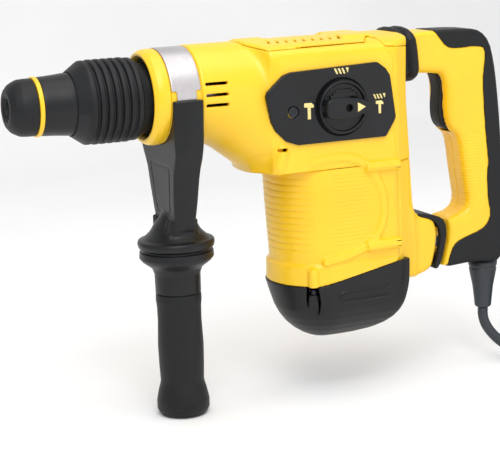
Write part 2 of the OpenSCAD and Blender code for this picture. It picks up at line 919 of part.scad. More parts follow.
// The outline round the hand gap, in X from the gear housing's rear and Z
module handle_outline()
    offset(r = 4, $fn = 24)
        offset(delta = -4)
            difference()
            {
                polygon([
                    [body_x1 + 8, 2], [body_x1 + 8, 40], [body_x1 + 74, 39],
                    [back_x - 25, 36], [back_x - 17, 29], [back_x - 12, 13],
                    [back_x - 9, -9], [back_x - 5, -50], [back_x - 2, -95],
                    [back_x, -137], [back_x, -160], [back_x - 4, -174],
                    [back_x - 10, -177], [back_x - 32, -173], [body_x1 + 42, -176],
                    [body_x1 + 44, -168], [body_x1 + 50, -146], [body_x1 + 49, -132],
                    [body_x1 + 41, -125.5], [body_x1 + 29, -122.5],
                    [body_x1 + 29, -120]
                ]);
                hand_gap();
            }

module hand_gap()
    polygon([
        [body_x1 - 20, 2], [body_x1 + 44, 1], [body_x1 + 47, -4], [body_x1 + 49, -16],
        [body_x1 + 49, -34], [body_x1 + 52, -50], [body_x1 + 61, -58],
        [body_x1 + 63, -77], [body_x1 + 66, -95], [body_x1 + 69, -116],
        [body_x1 + 67, -125], [body_x1 + 58, -130], [body_x1 + 41, -130.5],
        [body_x1 + 20, -118], [body_x1 - 20, -100]
    ]);

// The part of the outline that the hard shells fill; the soft cover takes the rest
module shell_side()
    polygon([
        [body_x1, 60], [body_x1 + 26, 44], [body_x1 + 47, 25], [body_x1 + 89, 22],
        [body_x1 + 83, -8], [body_x1 + 87, -45], [body_x1 + 91, -80],
        [body_x1 + 91, -125], [body_x1 + 85, -146], [body_x1 + 56, -152],
        [body_x1 + 50, -157], [body_x1 + 43, -180], [body_x1, -180]
    ]);

module shell_cuts()
{
    slab_y(-handle_y + wall, handle_y - wall)
    {
        translate([body_x1 + 66, -54])
            square([20, 46]);
        translate([body_x1 + 14, 7])
            square([52, 13]);
    }
    slab_y(-trig_y - free, trig_y + free)
        translate([body_x1 + 30, -53])
            square([38, 53]);
    rod_y(11 + gap, -20, 20, pivot_x, pivot_z);
    rod_x(9, body_x1 + 5, body_x1 + 13.5, 0, 21);
    for (p = handle_screw_places)
        rod_y(2.5, -handle_y + 2, 99, body_x1 + p[0], p[1]);
}

module handle_half(y0, y1)
    difference()
    {
        slab_y(y0, y1)
            intersection()
            {
                handle_outline();
                shell_side();
            }
        shell_cuts();
    }

module handle_lug(s)
    difference()
    {
        hull()
        {
            rod_y(9, s * 7 - 2.5, s * 7 + 2.5, pivot_x, pivot_z, $fn = 32);
            block([body_x1 + 50, s * 7 - 2.5, -151], [body_x1 + 56, s * 7 + 2.5, -143]);
        }
        rod_y(pivot_r + run, -40, 40, pivot_x, pivot_z);
    }

module handle_shell_left()
    color(yellow)
    {
        handle_half(-handle_y, 0);
        handle_lug(-1);
    }

module handle_shell_right()
    color(yellow)
    {
        handle_half(0, handle_y);
        handle_lug(1);
    }

module handle_overmould()
    color(rubber)
        slab_y(-handle_y - 0.5, handle_y + 0.5)
            difference()
            {
                handle_outline();
                shell_side();
            }

module handle_screws()
    color(dark_steel)
        for (p = handle_screw_places)
            rod_y(2.4, -handle_y + 2, handle_y, body_x1 + p[0], p[1]);

module switch_box()
    color([0.2, 0.2, 0.22])
        block([body_x1 + 74.5, -11, -50], [body_x1 + 83, 11, -10]);

module cord_boot()
    color(rubber)
        difference()
        {
            lathe_z([
                [0, boot_top - 3], [13, boot_top - 3], [12.6, boot_top - 8],
                [9.5, boot_top - 22], [8, boot_top - 34], [cord_d / 2 + 2, boot_tip],
                [0, boot_tip]
            ], boot_x);
            rod_z(cord_d / 2 + free, boot_tip - 1, boot_tip + 12, boot_x);
        }

module trigger()
    color(rubber)
        slab_y(-trig_y, trig_y)
            polygon([
                [body_x1 + 41, -2], [body_x1 + 43, -14], [body_x1 + 41.5, -34],
                [body_x1 + 45, -46], [body_x1 + 50, -51], [body_x1 + 58, -49],
                [body_x1 + 61, -40], [body_x1 + 61, -2]
            ]);

module trigger_spring()
    color(steel)
        spring_x(4, 1.2, body_x1 + 61.2, body_x1 + 74.3, 4, 0, -25);

// ---------------------------------------------------------------- cord

module power_cord()
    color(rubber)
        sweep(cord_points, cord_d / 2, [0.7, 0.7, 0], 8);

module cord_coil()
    color(rubber)
        translate([coil_x, coil_y, 0])
        {
            translate([0, 0, floor_z])
                difference()
                {
                    cylinder(r = coil_out + cord_d / 2, h = coil_h);
                    translate([0, 0, -1])
                        cylinder(r = coil_in - cord_d / 2, h = coil_h + 2);
                }
            rotate([0, 0, 78])
                rotate_extrude(angle = 180)
                    translate([coil_in, coil_top - 1])
                        square([15, cord_d + 1]);
        }

module cord_plug()
    color(black)
        translate([coil_x, coil_y, coil_top + plug_r])
            rotate([0, 0, plug_turn])
                translate([60, 0, 0])
                    rotate([-90, 0, 0])
                    {
                        cylinder(r1 = 6, r2 = 9, h = 22);
                        translate([0, 0, 22])
                            cylinder(r = plug_r, h = 26);
                        for (s = [-1, 1])
                            translate([s * 6, 0, 48])
                                cylinder(r = 2.4, h = 19);
                    }

module cord_tie()
    color([0.15, 0.15, 0.16])
        translate([coil_x, coil_y, 0])
            rotate([0, 0, -20])
                translate([coil_in - cord_d / 2 - 1.2, -7, floor_z])
                    difference()
                    {
                        cube([coil_out - coil_in + cord_d + 2.4, 14, coil_h + 1.2]);
                        translate([1.2, -1, -1])
                            cube([coil_out - coil_in + cord_d, 16, coil_h + 1]);
                    }

gear_housing();
collar_ring();
top_cover();
motor_housing();
rear_bracket();
motor_end_cap();
selector_panel();
housing_screws();
end_cap_screws();
bearing_plate();
motor_flange();
spindle_front_bearing();
spindle_rear_bearing();
crank_bearing();
armature_bearings();
field_core();
field_coils();
brush_holders();
carbon_brushes();
neck_seal();
pivot_pin();
joint_gasket();
handle_bellows();
damper_spring();
power_cord();
cord_coil();
cord_plug();
cord_tie();
spindle();
bevel_gear();
nose_cap();
nose_ring();
front_sleeve();
locking_rollers();
lock_spring();
lock_sleeve();
piston();
con_rod();
ram();
beat_piece();
armature_shaft();
armature_core();
commutator();
cooling_fan();
bevel_pinion();
crank_gear();
selector_knob();
clamp_band();
handle_yoke();
tension_bolt();
grip_collar();
side_grip();
handle_shell_left();
handle_shell_right();
handle_overmould();
handle_screws();
switch_box();
cord_boot();
trigger();
trigger_spring();
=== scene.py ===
import json
import math

import bmesh
import bpy
import numpy as np
from bpy.props import FloatProperty, FloatVectorProperty, IntProperty, PointerProperty
from bpy.types import Operator, Panel, PropertyGroup
from mathutils import Matrix, Vector


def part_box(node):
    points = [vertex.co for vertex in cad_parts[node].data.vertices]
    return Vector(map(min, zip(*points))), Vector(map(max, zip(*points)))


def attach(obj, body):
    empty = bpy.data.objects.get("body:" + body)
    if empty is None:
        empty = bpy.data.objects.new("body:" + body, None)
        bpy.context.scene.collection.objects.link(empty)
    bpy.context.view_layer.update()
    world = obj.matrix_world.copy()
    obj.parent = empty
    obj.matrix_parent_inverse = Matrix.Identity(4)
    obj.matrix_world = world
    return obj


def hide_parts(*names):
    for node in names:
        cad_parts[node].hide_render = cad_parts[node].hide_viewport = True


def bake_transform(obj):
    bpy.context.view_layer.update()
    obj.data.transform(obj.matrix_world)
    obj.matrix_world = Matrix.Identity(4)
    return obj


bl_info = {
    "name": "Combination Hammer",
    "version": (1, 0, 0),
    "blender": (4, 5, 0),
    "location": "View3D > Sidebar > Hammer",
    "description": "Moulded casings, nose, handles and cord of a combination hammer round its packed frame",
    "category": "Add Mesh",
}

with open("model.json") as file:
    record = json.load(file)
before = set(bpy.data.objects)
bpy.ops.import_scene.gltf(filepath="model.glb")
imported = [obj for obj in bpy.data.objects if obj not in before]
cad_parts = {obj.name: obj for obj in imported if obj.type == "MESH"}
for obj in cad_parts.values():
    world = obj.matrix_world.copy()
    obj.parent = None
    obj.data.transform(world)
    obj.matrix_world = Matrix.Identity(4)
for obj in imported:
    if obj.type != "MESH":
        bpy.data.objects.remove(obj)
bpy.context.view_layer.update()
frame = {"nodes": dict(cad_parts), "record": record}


# ------------------------------------------------------------------ places taken from the frame

def span(node):
    """The lowest and the highest corner of a CAD node, in millimetres"""
    low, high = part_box(node)
    return np.array(low) * 1000, np.array(high) * 1000


def middle(node):
    low, high = span(node)
    return (low + high) / 2


COLLAR_X0, COLLAR_X1 = span("collar_ring")[0][0], span("collar_ring")[1][0]
BARREL_R = span("collar_ring")[1][2] - 0.8
BAND_X0, BAND_X1 = span("clamp_band")[0][0], span("clamp_band")[1][0]
COVER_X0, REAR_X = span("top_cover")[0][0], span("top_cover")[1][0]
FRONT_X = COVER_X0 - 19
TOP_Z = span("top_cover")[1][2]
SIDE_Y = span("top_cover")[1][1]
MOTOR_Z1, MOTOR_Z0 = span("motor_housing")[1][2], span("motor_housing")[0][2]
CAP_Z0 = span("motor_end_cap")[0][2]
MOTOR_X, KNOB_Z = middle("selector_knob")[0], middle("selector_knob")[2]
KNOB_R = (span("selector_knob")[1][0] - span("selector_knob")[0][0]) / 2
PANEL_Y = span("selector_panel")[0][1]
SIDE_X = middle("side_grip")[0]
FLANGE_Z = span("handle_yoke")[0][2]
FLOOR_Z = span("side_grip")[0][2]
LOCK_X0, LOCK_X1 = span("lock_sleeve")[0][0], span("lock_sleeve")[1][0]
RING_X0, RING_X1 = span("nose_ring")[0][0], span("nose_ring")[1][0]
NOSE_X0 = span("nose_cap")[0][0]
HANDLE_Y = span("handle_shell_left")[0][1] * -1
BACK_X = span("handle_overmould")[1][0]
BOOT_X, BOOT_TIP = middle("cord_boot")[0], span("cord_boot")[0][2]
WALL = 3.0
LOWER_JOINT = (REAR_X + 37, -150)


# ------------------------------------------------------------------ sizes and colours to change

def linear(code):
    """Turns an sRGB hex value into linear red, green and blue"""
    parts = [(code >> shift & 255) / 255 for shift in (16, 8, 0)]
    return tuple(p / 12.92 if p <= 0.04045 else ((p + 0.055) / 1.055) ** 2.4 for p in parts)


def length(name, description, default):
    return FloatProperty(name=name, description=description, default=default, unit="LENGTH", precision=5)


def colour(name, description, code):
    return FloatVectorProperty(name=name, description=description, default=linear(code),
                               subtype="COLOR", min=0, max=1)


class HammerSizes(PropertyGroup):
    mesh_step: length("Mesh step", "Spacing of the points on the moulded casings", 0.0013)
    seam: length("Seam", "Width of the seams between two mouldings", 0.0003)
    motor_rib: length("Motor rib", "Distance between the grooves round the motor", 0.0058)
    side_rib: length("Side rib", "Distance between the grooves inside the raised frame", 0.0034)
    grip_rib: length("Grip rib", "Distance between the grooves on the rear grip", 0.0027)
    vent_pitch: length("Vent pitch", "Distance between the slots in the top cover", 0.0082)
    cord_diameter: length("Cord", "Diameter of the power cord", 0.0095)
    vent_count: IntProperty(name="Vents", description="Number of slots in the top cover", default=9, min=1,
                            max=10)


class HammerColours(PropertyGroup):
    casing: colour("Casing", "Moulded nylon of the casings", 0xF5C61E)
    black: colour("Black nylon", "Moulded nylon of the cap, panel and side handle", 0x121315)
    rubber: colour("Soft grip", "Soft moulded elastomer", 0x101113)
    cord: colour("Cord", "Sheath of the cord and its boot", 0x24292E)
    band: colour("Band", "Bead-blasted clamp band", 0xC9C5C6)
    marking: colour("Marking", "Moulded symbols on the selector", 0xE8D58C)


class StageSettings(PropertyGroup):
    key_power: FloatProperty(name="Key light", description="Power of the softbox over the nose", default=13,
                             unit="POWER")
    top_power: FloatProperty(name="Top light", description="Power of the softbox overhead", default=8,
                             unit="POWER")
    fill_power: FloatProperty(name="Fill light", description="Power of the softbox at the side", default=2,
                              unit="POWER")
    sky: FloatProperty(name="Sky", description="Strength of the even white light all round", default=0.7,
                       min=0)


def sizes():
    return bpy.context.scene.hammer_sizes


def mm(value):
    return value * 1000


# ------------------------------------------------------------------ shapes as distance fields
# A shape is a function of x, y and z in millimetres that is negative inside and about the
# distance to the surface near it, so shapes are joined, cut and rounded by arithmetic.

AXES = {"x": (1, 2, 0), "y": (0, 2, 1), "z": (0, 1, 2)}


def corner(*sides):
    """Distance from the corner that two or three half spaces share"""
    outside = sum(np.maximum(side, 0) ** 2 for side in sides)
    inside = sides[0]
    for side in sides[1:]:
        inside = np.maximum(inside, side)
    return np.sqrt(outside) + np.minimum(inside, 0)


def block(low, high, edge=0.0):
    low, high = np.array(low, float), np.array(high, float)
    centre, half = (low + high) / 2, (high - low) / 2 - edge

    def field(*p):
        return corner(*(np.abs(p[i] - centre[i]) - half[i] for i in range(3))) - edge
    return field


def rod(axis, centre, radius, low, high, edge=0.0):
    a, b, along = AXES[axis]
    half = (high - low) / 2 - edge

    def field(*p):
        flat = np.hypot(p[a] - centre[0], p[b] - centre[1]) - radius + edge
        return corner(flat, np.abs(p[along] - (low + high) / 2) - half) - edge
    return field


def cone(start, start_r, end, end_r):
    """A cone with round ends, swept by a ball that grows from start_r to end_r"""
    start, way = np.array(start, float), np.array(end, float) - np.array(start, float)
    square = way @ way
    lean = (end_r - start_r) / math.sqrt(square)
    slope = lean / math.sqrt(max(1 - lean * lean, 1e-6))

    def field(*p):
        q = [p[i] - start[i] for i in range(3)]
        t = sum(q[i] * way[i] for i in range(3)) / square
        off = np.sqrt(np.maximum(sum((q[i] - t * way[i]) ** 2 for i in range(3)), 1e-9))
        t = np.clip(t + slope * off / math.sqrt(square), 0, 1)
        gap = np.sqrt(sum((q[i] - t * way[i]) ** 2 for i in range(3)))
        return gap - (start_r + t * (end_r - start_r))
    return field


def outline_distance(outline, u, v):
    """Signed distance to a closed outline in a plane"""
    points = np.array(outline, float)
    nearest, inside = np.inf, False
    for (au, av), (bu, bv) in zip(points, np.roll(points, -1, axis=0)):
        eu, ev, wu, wv = bu - au, bv - av, u - au, v - av
        t = np.clip((wu * eu + wv * ev) / (eu * eu + ev * ev), 0, 1)
        nearest = np.minimum(nearest, (wu - t * eu) ** 2 + (wv - t * ev) ** 2)
        if ev:
            inside = inside ^ (((av <= v) != (bv <= v)) & (u < au + wv * eu / ev))
    return np.where(inside, -1, 1) * np.sqrt(nearest)


def path_distance(path, u, v):
    """Distance to an open line of points in a plane"""
    nearest = np.inf
    for (au, av), (bu, bv) in zip(path[:-1], path[1:]):
        eu, ev, wu, wv = bu - au, bv - av, u - au, v - av
        t = np.clip((wu * eu + wv * ev) / (eu * eu + ev * ev), 0, 1)
        nearest = np.minimum(nearest, (wu - t * eu) ** 2 + (wv - t * ev) ** 2)
    return np.sqrt(nearest)


def soften(points, passes=2, closed=True):
    """Cuts the corners of an outline until it is a smooth curve"""
    points = np.array(points, float)
    for _ in range(passes):
        ahead = np.roll(points, -1, axis=0)
        pairs = np.stack([0.75 * points + 0.25 * ahead, 0.25 * points + 0.75 * ahead], 1).reshape(-1, 2)
        points = pairs if closed else np.concatenate([points[:1], pairs[1:-3], points[-1:]])
    return points


def mirrored(half):
    """Closes half an outline with its mirror image"""
    half = [tuple(p) for p in half]
    return half + [(-u, v) for u, v in reversed(half)]


def prism(axis, outline, low, high, edge=0.0):
    """An outline drawn square to an axis, from low to high along it, with round edges"""
    a, b, along = AXES[axis]
    half = (high - low) / 2 - edge

    def field(*p):
        flat = outline_distance(outline, p[a], p[b]) + edge
        return corner(flat, np.abs(p[along] - (low + high) / 2) - half) - edge
    return field


def smooth_least(a, b, reach):
    if not reach:
        return np.minimum(a, b)
    overlap = np.maximum(reach - np.abs(a - b), 0)
    return np.minimum(a, b) - overlap * overlap / (4 * reach)


def join(reach, *fields):
    def field(*p):
        whole = fields[0](*p)
        for other in fields[1:]:
            whole = smooth_least(whole, other(*p), reach)
        return whole
    return field


def meet(reach, *fields):
    def field(*p):
        whole = -fields[0](*p)
        for other in fields[1:]:
            whole = smooth_least(whole, -other(*p), reach)
        return -whole
    return field


def cut(reach, body, *tools):
    """The body without the tools"""
    return meet(reach, body, *(lambda *p, tool=tool: -tool(*p) for tool in tools))


def grow(field, amount):
    return lambda *p: field(*p) - amount


def both_sides(field):
    """Repeats what is on the -Y side on the +Y side"""
    return lambda x, y, z: field(x, -np.abs(y), z)


def groove(where, width, depth):
    """How deep a round-bottomed groove is at a distance from its middle line"""
    return depth * np.exp(-(where / (0.6 * width)) ** 2)


def repeat(place, pitch):
    """Distance to the nearest of a row of lines"""
    return np.abs(place - pitch * np.round(place / pitch))


def ease(value, start, end):
    t = np.clip((value - start) / (end - start), 0, 1)
    return t * t * (3 - 2 * t)


# ------------------------------------------------------------------ meshes

def new_object(name, points, faces, material, slot):
    """Makes a smooth-shaded object of points in millimetres"""
    mesh = bpy.data.meshes.new(name)
    mesh.from_pydata(np.asarray(points) * 0.001, [], faces)
    mesh.validate()
    mesh.shade_smooth()
    mesh.materials.append(material)
    piece = bpy.data.objects.new(name, mesh)
    bpy.context.scene.collection.objects.link(piece)
    return piece


def surface(field, low, high, step):
    """Points and four-sided faces on the surface where a field is zero: one point in each grid
    cell that the surface crosses, then moved along the field's slope onto the surface"""
    low, step = np.array(low, float) - 1.5 * np.array(step), np.array(step, float)
    counts = np.ceil((np.array(high) - low) / step).astype(int) + 3
    axes = [low[i] + step[i] * np.arange(counts[i]) for i in range(3)]
    values = field(*np.meshgrid(*axes, indexing="ij", sparse=True))
    values = np.array(np.broadcast_to(values, counts))
    values[[0, -1]] = values[:, [0, -1]] = values[:, :, [0, -1]] = step.max()
    cells = tuple(counts - 1)
    total = np.zeros((int(np.prod(cells)), 3))
    hits = np.zeros(int(np.prod(cells)))
    rings = []
    for along in range(3):
        first = tuple(slice(0, -1) if i == along else slice(None) for i in range(3))
        second = tuple(slice(1, None) if i == along else slice(None) for i in range(3))
        here, there = values[first], values[second]
        crossed = np.argwhere((here < 0) != (there < 0))
        where = tuple(crossed.T)
        point = crossed.astype(float)
        point[:, along] += here[where] / (here[where] - there[where])
        b, c = (along + 1) % 3, (along + 2) % 3
        ring = []
        for back_b, back_c in ((1, 1), (0, 1), (0, 0), (1, 0)):
            cell = crossed.copy()
            cell[:, b] -= back_b
            cell[:, c] -= back_c
            flat = np.ravel_multi_index(cell.T, cells)
            hits += np.bincount(flat, minlength=hits.size)
            for i in range(3):
                total[:, i] += np.bincount(flat, point[:, i], minlength=hits.size)
            ring.append(flat)
        ring = np.stack(ring, 1)
        outward = here[where] < 0
        rings.append(np.where(outward[:, None], ring, ring[:, ::-1]))
    used = np.flatnonzero(hits)
    if not used.size:
        raise ValueError("the shape has no surface inside its box")
    number = np.zeros(hits.size, int)
    number[used] = np.arange(used.size)
    points = low + step * total[used] / hits[used, None]
    nudge = 0.05
    for _ in range(3):
        here = field(*points.T)
        slope = np.stack([
            field(*(points + nudge * np.eye(3)[i]).T) - field(*(points - nudge * np.eye(3)[i]).T)
            for i in range(3)], 1) / (2 * nudge)
        steep = np.maximum((slope ** 2).sum(1), 0.2)
        points -= np.clip(here / steep, -step.min(), step.min())[:, None] * slope
    return points, number[np.concatenate(rings)]


def moulding(name, field, low, high, material, slot, step=None):
    """A moulded piece: the surface of a field inside a box"""
    pitch = mm(sizes().mesh_step)
    step = np.array(step if step else (pitch, pitch, pitch))
    return new_object(name, *surface(field, low, high, step), material, slot)


def rounded_profile(profile):
    """Rounds the corners of a profile whose points may carry a radius as their third number"""
    result = []
    count = len(profile)
    for i, place in enumerate(profile):
        here = np.array(place[:2], float)
        radius = place[2] if len(place) > 2 else 0
        before = np.array(profile[i - 1][:2], float) - here
        after = np.array(profile[(i + 1) % count][:2], float) - here
        room = 0.45 * min(np.linalg.norm(before), np.linalg.norm(after))
        if not radius or room < 1e-6:
            result.append(here)
            continue
        before, after = before / np.linalg.norm(before), after / np.linalg.norm(after)
        half = math.acos(np.clip(before @ after, -1, 1)) / 2
        reach = min(radius / max(math.tan(half), 1e-6), room)
        for t in np.linspace(0, 1, 7):
            result.append(here + reach * ((1 - t) ** 2 * before + t ** 2 * after))
    return np.array(result)


def turned(name, axis, centre, profile, material, slot, steps=144):
    """A turned piece: a closed profile of (radius, place along the axis, corner radius)"""
    outline = rounded_profile(profile)
    a, b, along = AXES[axis]
    angles = np.arange(steps) * 2 * math.pi / steps
    points = np.zeros((len(outline), steps, 3))
    points[..., a] = centre[0] + outline[:, :1] * np.cos(angles)
    points[..., b] = centre[1] + outline[:, :1] * np.sin(angles)
    points[..., along] = outline[:, 1:]
    row = np.arange(len(outline))[:, None] * steps
    column = np.arange(steps)[None, :]
    next_row, next_column = np.roll(row, -1, axis=0), np.roll(column, -1, axis=1)
    faces = np.stack([row + column, row + next_column, next_row + next_column, next_row + column], -1)
    piece = new_object(name, points.reshape(-1, 3), faces.reshape(-1, 4), material, slot)
    weld(piece)
    return piece


def weld(piece):
    """Closes the centre of a turned piece and turns every face outward"""
    work = bmesh.new()
    work.from_mesh(piece.data)
    bmesh.ops.remove_doubles(work, verts=work.verts, dist=1e-6)
    bmesh.ops.recalc_face_normals(work, faces=work.faces)
    work.to_mesh(piece.data)
    work.free()
    piece.data.shade_smooth()


def tube(name, path, radius, material, slot, sides=16):
    """A round tube along a path in millimetres, closed at both ends"""
    path = np.array(path, float)
    way = np.gradient(path, axis=0)
    way /= np.linalg.norm(way, axis=1)[:, None]
    across = np.cross(way[0], (0.3, 0.9, 0.1))
    points = []
    for place, ahead in zip(path, way):
        across = across - ahead * (across @ ahead)
        across /= np.linalg.norm(across)
        up = np.cross(ahead, across)
        for k in range(sides):
            turn = 2 * math.pi * k / sides
            points.append(place + radius * (math.cos(turn) * across + math.sin(turn) * up))
    faces = [(i * sides + k, i * sides + (k + 1) % sides,
              (i + 1) * sides + (k + 1) % sides, (i + 1) * sides + k)
             for i in range(len(path) - 1) for k in range(sides)]
    faces.append(tuple(range(sides))[::-1])
    faces.append(tuple((len(path) - 1) * sides + k for k in range(sides)))
    piece = new_object(name, points, faces, material, slot)
    weld(piece)
    return piece


# ------------------------------------------------------------------ materials

def add(tree, kind, values=None, links=None):
    """Adds one shader node, sets its properties and sockets and links its inputs"""
    node = tree.nodes.new("ShaderNode" + kind)
    for name, value in (values or {}).items():
        if isinstance(name, int) or name in node.inputs:
            node.inputs[name].default_value = value
        else:
            setattr(node, name, value)
    for name, socket in (links or {}).items():
        tree.links.new(socket, node.inputs[name])
    return node


def finish_material(name, base, second, roughness, spread, grain_mm, bump, patch_mm=40.0, **extra):
    """A moulded or metal finish: a slow drift between two close colours, a painted highlight that pales the
    sharp convex edges, a roughness that varies by spread and a fine grain of grain_mm that bumps the surface"""
    made = bpy.data.materials.get(name)
    if made:
        return made
    made = bpy.data.materials.new(name)
    made.use_nodes = True
    made.diffuse_color = (*base, 1)
    tree = made.node_tree
    tree.nodes.clear()
    place = add(tree, "TexCoord").outputs["Object"]
    patches = add(tree, "TexNoise", {"Scale": 1000 / patch_mm, "Detail": 3.0, "Roughness": 0.5},
                  {"Vector": place})
    grain = add(tree, "TexNoise", {"Scale": 1000 / grain_mm, "Detail": 2.0, "Roughness": 0.6},
                {"Vector": place})
    # painted highlight: the colour is mixed towards a paler tint on sharp convex edges, found by pointiness
    edges = add(tree, "NewGeometry").outputs["Pointiness"]
    edge_highlight_mask = add(tree, "MapRange", {"From Min": 0.54, "From Max": 0.66, "To Min": 0.0, "To Max": 0.2},
               {"Value": edges})
    drift = add(tree, "ValToRGB", links={"Fac": patches.outputs["Fac"]})
    for element, stop, shade in zip(drift.color_ramp.elements, (0.35, 0.7), (base, second)):
        element.position = stop
        element.color = (*shade, 1)
    pale = tuple(min(1.0, 0.25 * c + 0.75 * c ** 0.6) for c in base)
    tint = add(tree, "Mix", {"data_type": "RGBA", "B": (*pale, 1)},
               {"Factor": edge_highlight_mask.outputs[0], "A": drift.outputs["Color"]})
    rough = add(tree, "MapRange", {"To Min": roughness - spread, "To Max": roughness + spread},
                {"Value": patches.outputs["Fac"]})
    relief = add(tree, "Bump", {"Strength": bump, "Distance": 0.00025}, {"Height": grain.outputs["Fac"]})
    shader = add(tree, "BsdfPrincipled", extra, {
        "Base Color": tint.outputs["Result"], "Roughness": rough.outputs[0], "Normal": relief.outputs[0]})
    add(tree, "OutputMaterial", links={"Surface": shader.outputs[0]})
    return made


def yellow_nylon():
    """Glass-filled nylon, moulded in a spark-textured tool: an even satin yellow with a fine grain"""
    base = tuple(bpy.context.scene.hammer_colours.casing)
    second = (base[0] * 0.97, base[1] * 0.93, base[2] * 0.8)
    return finish_material("glass_filled_nylon_yellow", base, second, 0.36, 0.05, 1.1, 0.10,
                           **{"IOR": 1.53, "Subsurface Weight": 0.06,
                              "Subsurface Radius": (0.004, 0.002, 0.0004)})


def black_nylon():
    """Glass-filled nylon, moulded: near black with a soft satin sheen that greys the lit faces"""
    base = tuple(bpy.context.scene.hammer_colours.black)
    return finish_material("glass_filled_nylon_black", base, tuple(c * 1.35 for c in base), 0.40, 0.06, 1.0,
                           0.12,
                           **{"IOR": 1.53, "Specular IOR Level": 0.28})


def soft_grip():
    """Thermoplastic elastomer, overmoulded: a deeper black with a dull, slightly dusty surface"""
    base = tuple(bpy.context.scene.hammer_colours.rubber)
    return finish_material("thermoplastic_elastomer_black", base, tuple(c * 1.5 for c in base), 0.52, 0.06,
                           0.9,
                           0.2, **{"IOR": 1.5, "Specular IOR Level": 0.3})


def cord_rubber():
    """Vulcanised rubber sheath, extruded: slate grey with a waxy bloom"""
    base = tuple(bpy.context.scene.hammer_colours.cord)
    return finish_material("vulcanised_rubber_slate", base, tuple(c * 1.4 for c in base), 0.46, 0.06, 1.2,
                           0.12,
                           **{"IOR": 1.52})


def band_aluminium():
    """Rolled aluminium strip, bead blasted: pale grey with soft cloudy reflections"""
    base = tuple(bpy.context.scene.hammer_colours.band)
    return finish_material("bead_blasted_aluminium", base, tuple(c * 0.86 for c in base), 0.40, 0.10, 0.9,
                           0.1,
                           patch_mm=11.0, **{"Metallic": 0.85})


def ground_steel():
    """Alloy steel, ground and oiled: bright with fine streaky roughness"""
    return finish_material("ground_steel", linear(0xB4B5B8), linear(0x9FA0A4), 0.28, 0.08, 0.7, 0.08,
                           patch_mm=9.0, **{"Metallic": 1.0})


def oxidised_steel():
    """Case-hardened steel, black oxide and oil: dark with a dull shine on its edges"""
    return finish_material("black_oxide_steel", linear(0x34363A), linear(0x292B2E), 0.36, 0.08, 0.7, 0.1,
                           patch_mm=9.0, **{"Metallic": 1.0})


def cast_aluminium():
    """Die-cast aluminium, as cast: light grey and grainy"""
    return finish_material("die_cast_aluminium", linear(0xA9AAAC), linear(0x939497), 0.48, 0.08, 0.9, 0.3,
                           patch_mm=14.0, **{"Metallic": 1.0})


def enamelled_copper():
    """Copper wire under enamel: warm brown-red with a glossy coat"""
    return finish_material("enamelled_copper_wire", linear(0xA65A2E), linear(0x8A4522), 0.3, 0.08, 1.2, 0.6,
                           patch_mm=6.0, **{"Metallic": 0.9, "Coat Weight": 0.4})


def stamped_brass():
    """Stamped brass sheet: yellow metal, slightly tarnished"""
    return finish_material("stamped_brass", linear(0xC79B4B), linear(0xA57E3A), 0.32, 0.08, 0.8, 0.1,
                           patch_mm=8.0, **{"Metallic": 1.0})


def pressed_carbon():
    """Pressed carbon: matt dark grey with a sooty grain"""
    return finish_material("pressed_carbon", linear(0x2A2B2C), linear(0x353638), 0.6, 0.08, 0.6, 0.3,
                           patch_mm=5.0)


def marking_paint():
    """Pad-printed enamel: a flat cream that sits just proud of the nylon"""
    base = tuple(bpy.context.scene.hammer_colours.marking)
    return finish_material("pad_printed_enamel", base, tuple(c * 0.92 for c in base), 0.5, 0.05, 0.6, 0.05,
                           patch_mm=6.0)


def studio_paper():
    """White seamless paper: matt with a faint fibre"""
    return finish_material("seamless_paper_white", linear(0xFBFBFB), linear(0xF6F6F6), 0.85, 0.05, 2.5, 0.05,
                           patch_mm=400.0)


SLOT_MATERIALS = {
    "yellow_plastic": yellow_nylon, "black_plastic": black_nylon, "rubber": soft_grip,
    "bare_steel": ground_steel, "dark_steel": oxidised_steel, "alloy_band": band_aluminium,
    "cast_alloy": cast_aluminium, "copper_wire": enamelled_copper, "brass_parts": stamped_brass,
    "carbon": pressed_carbon,
}


# ------------------------------------------------------------------ stage

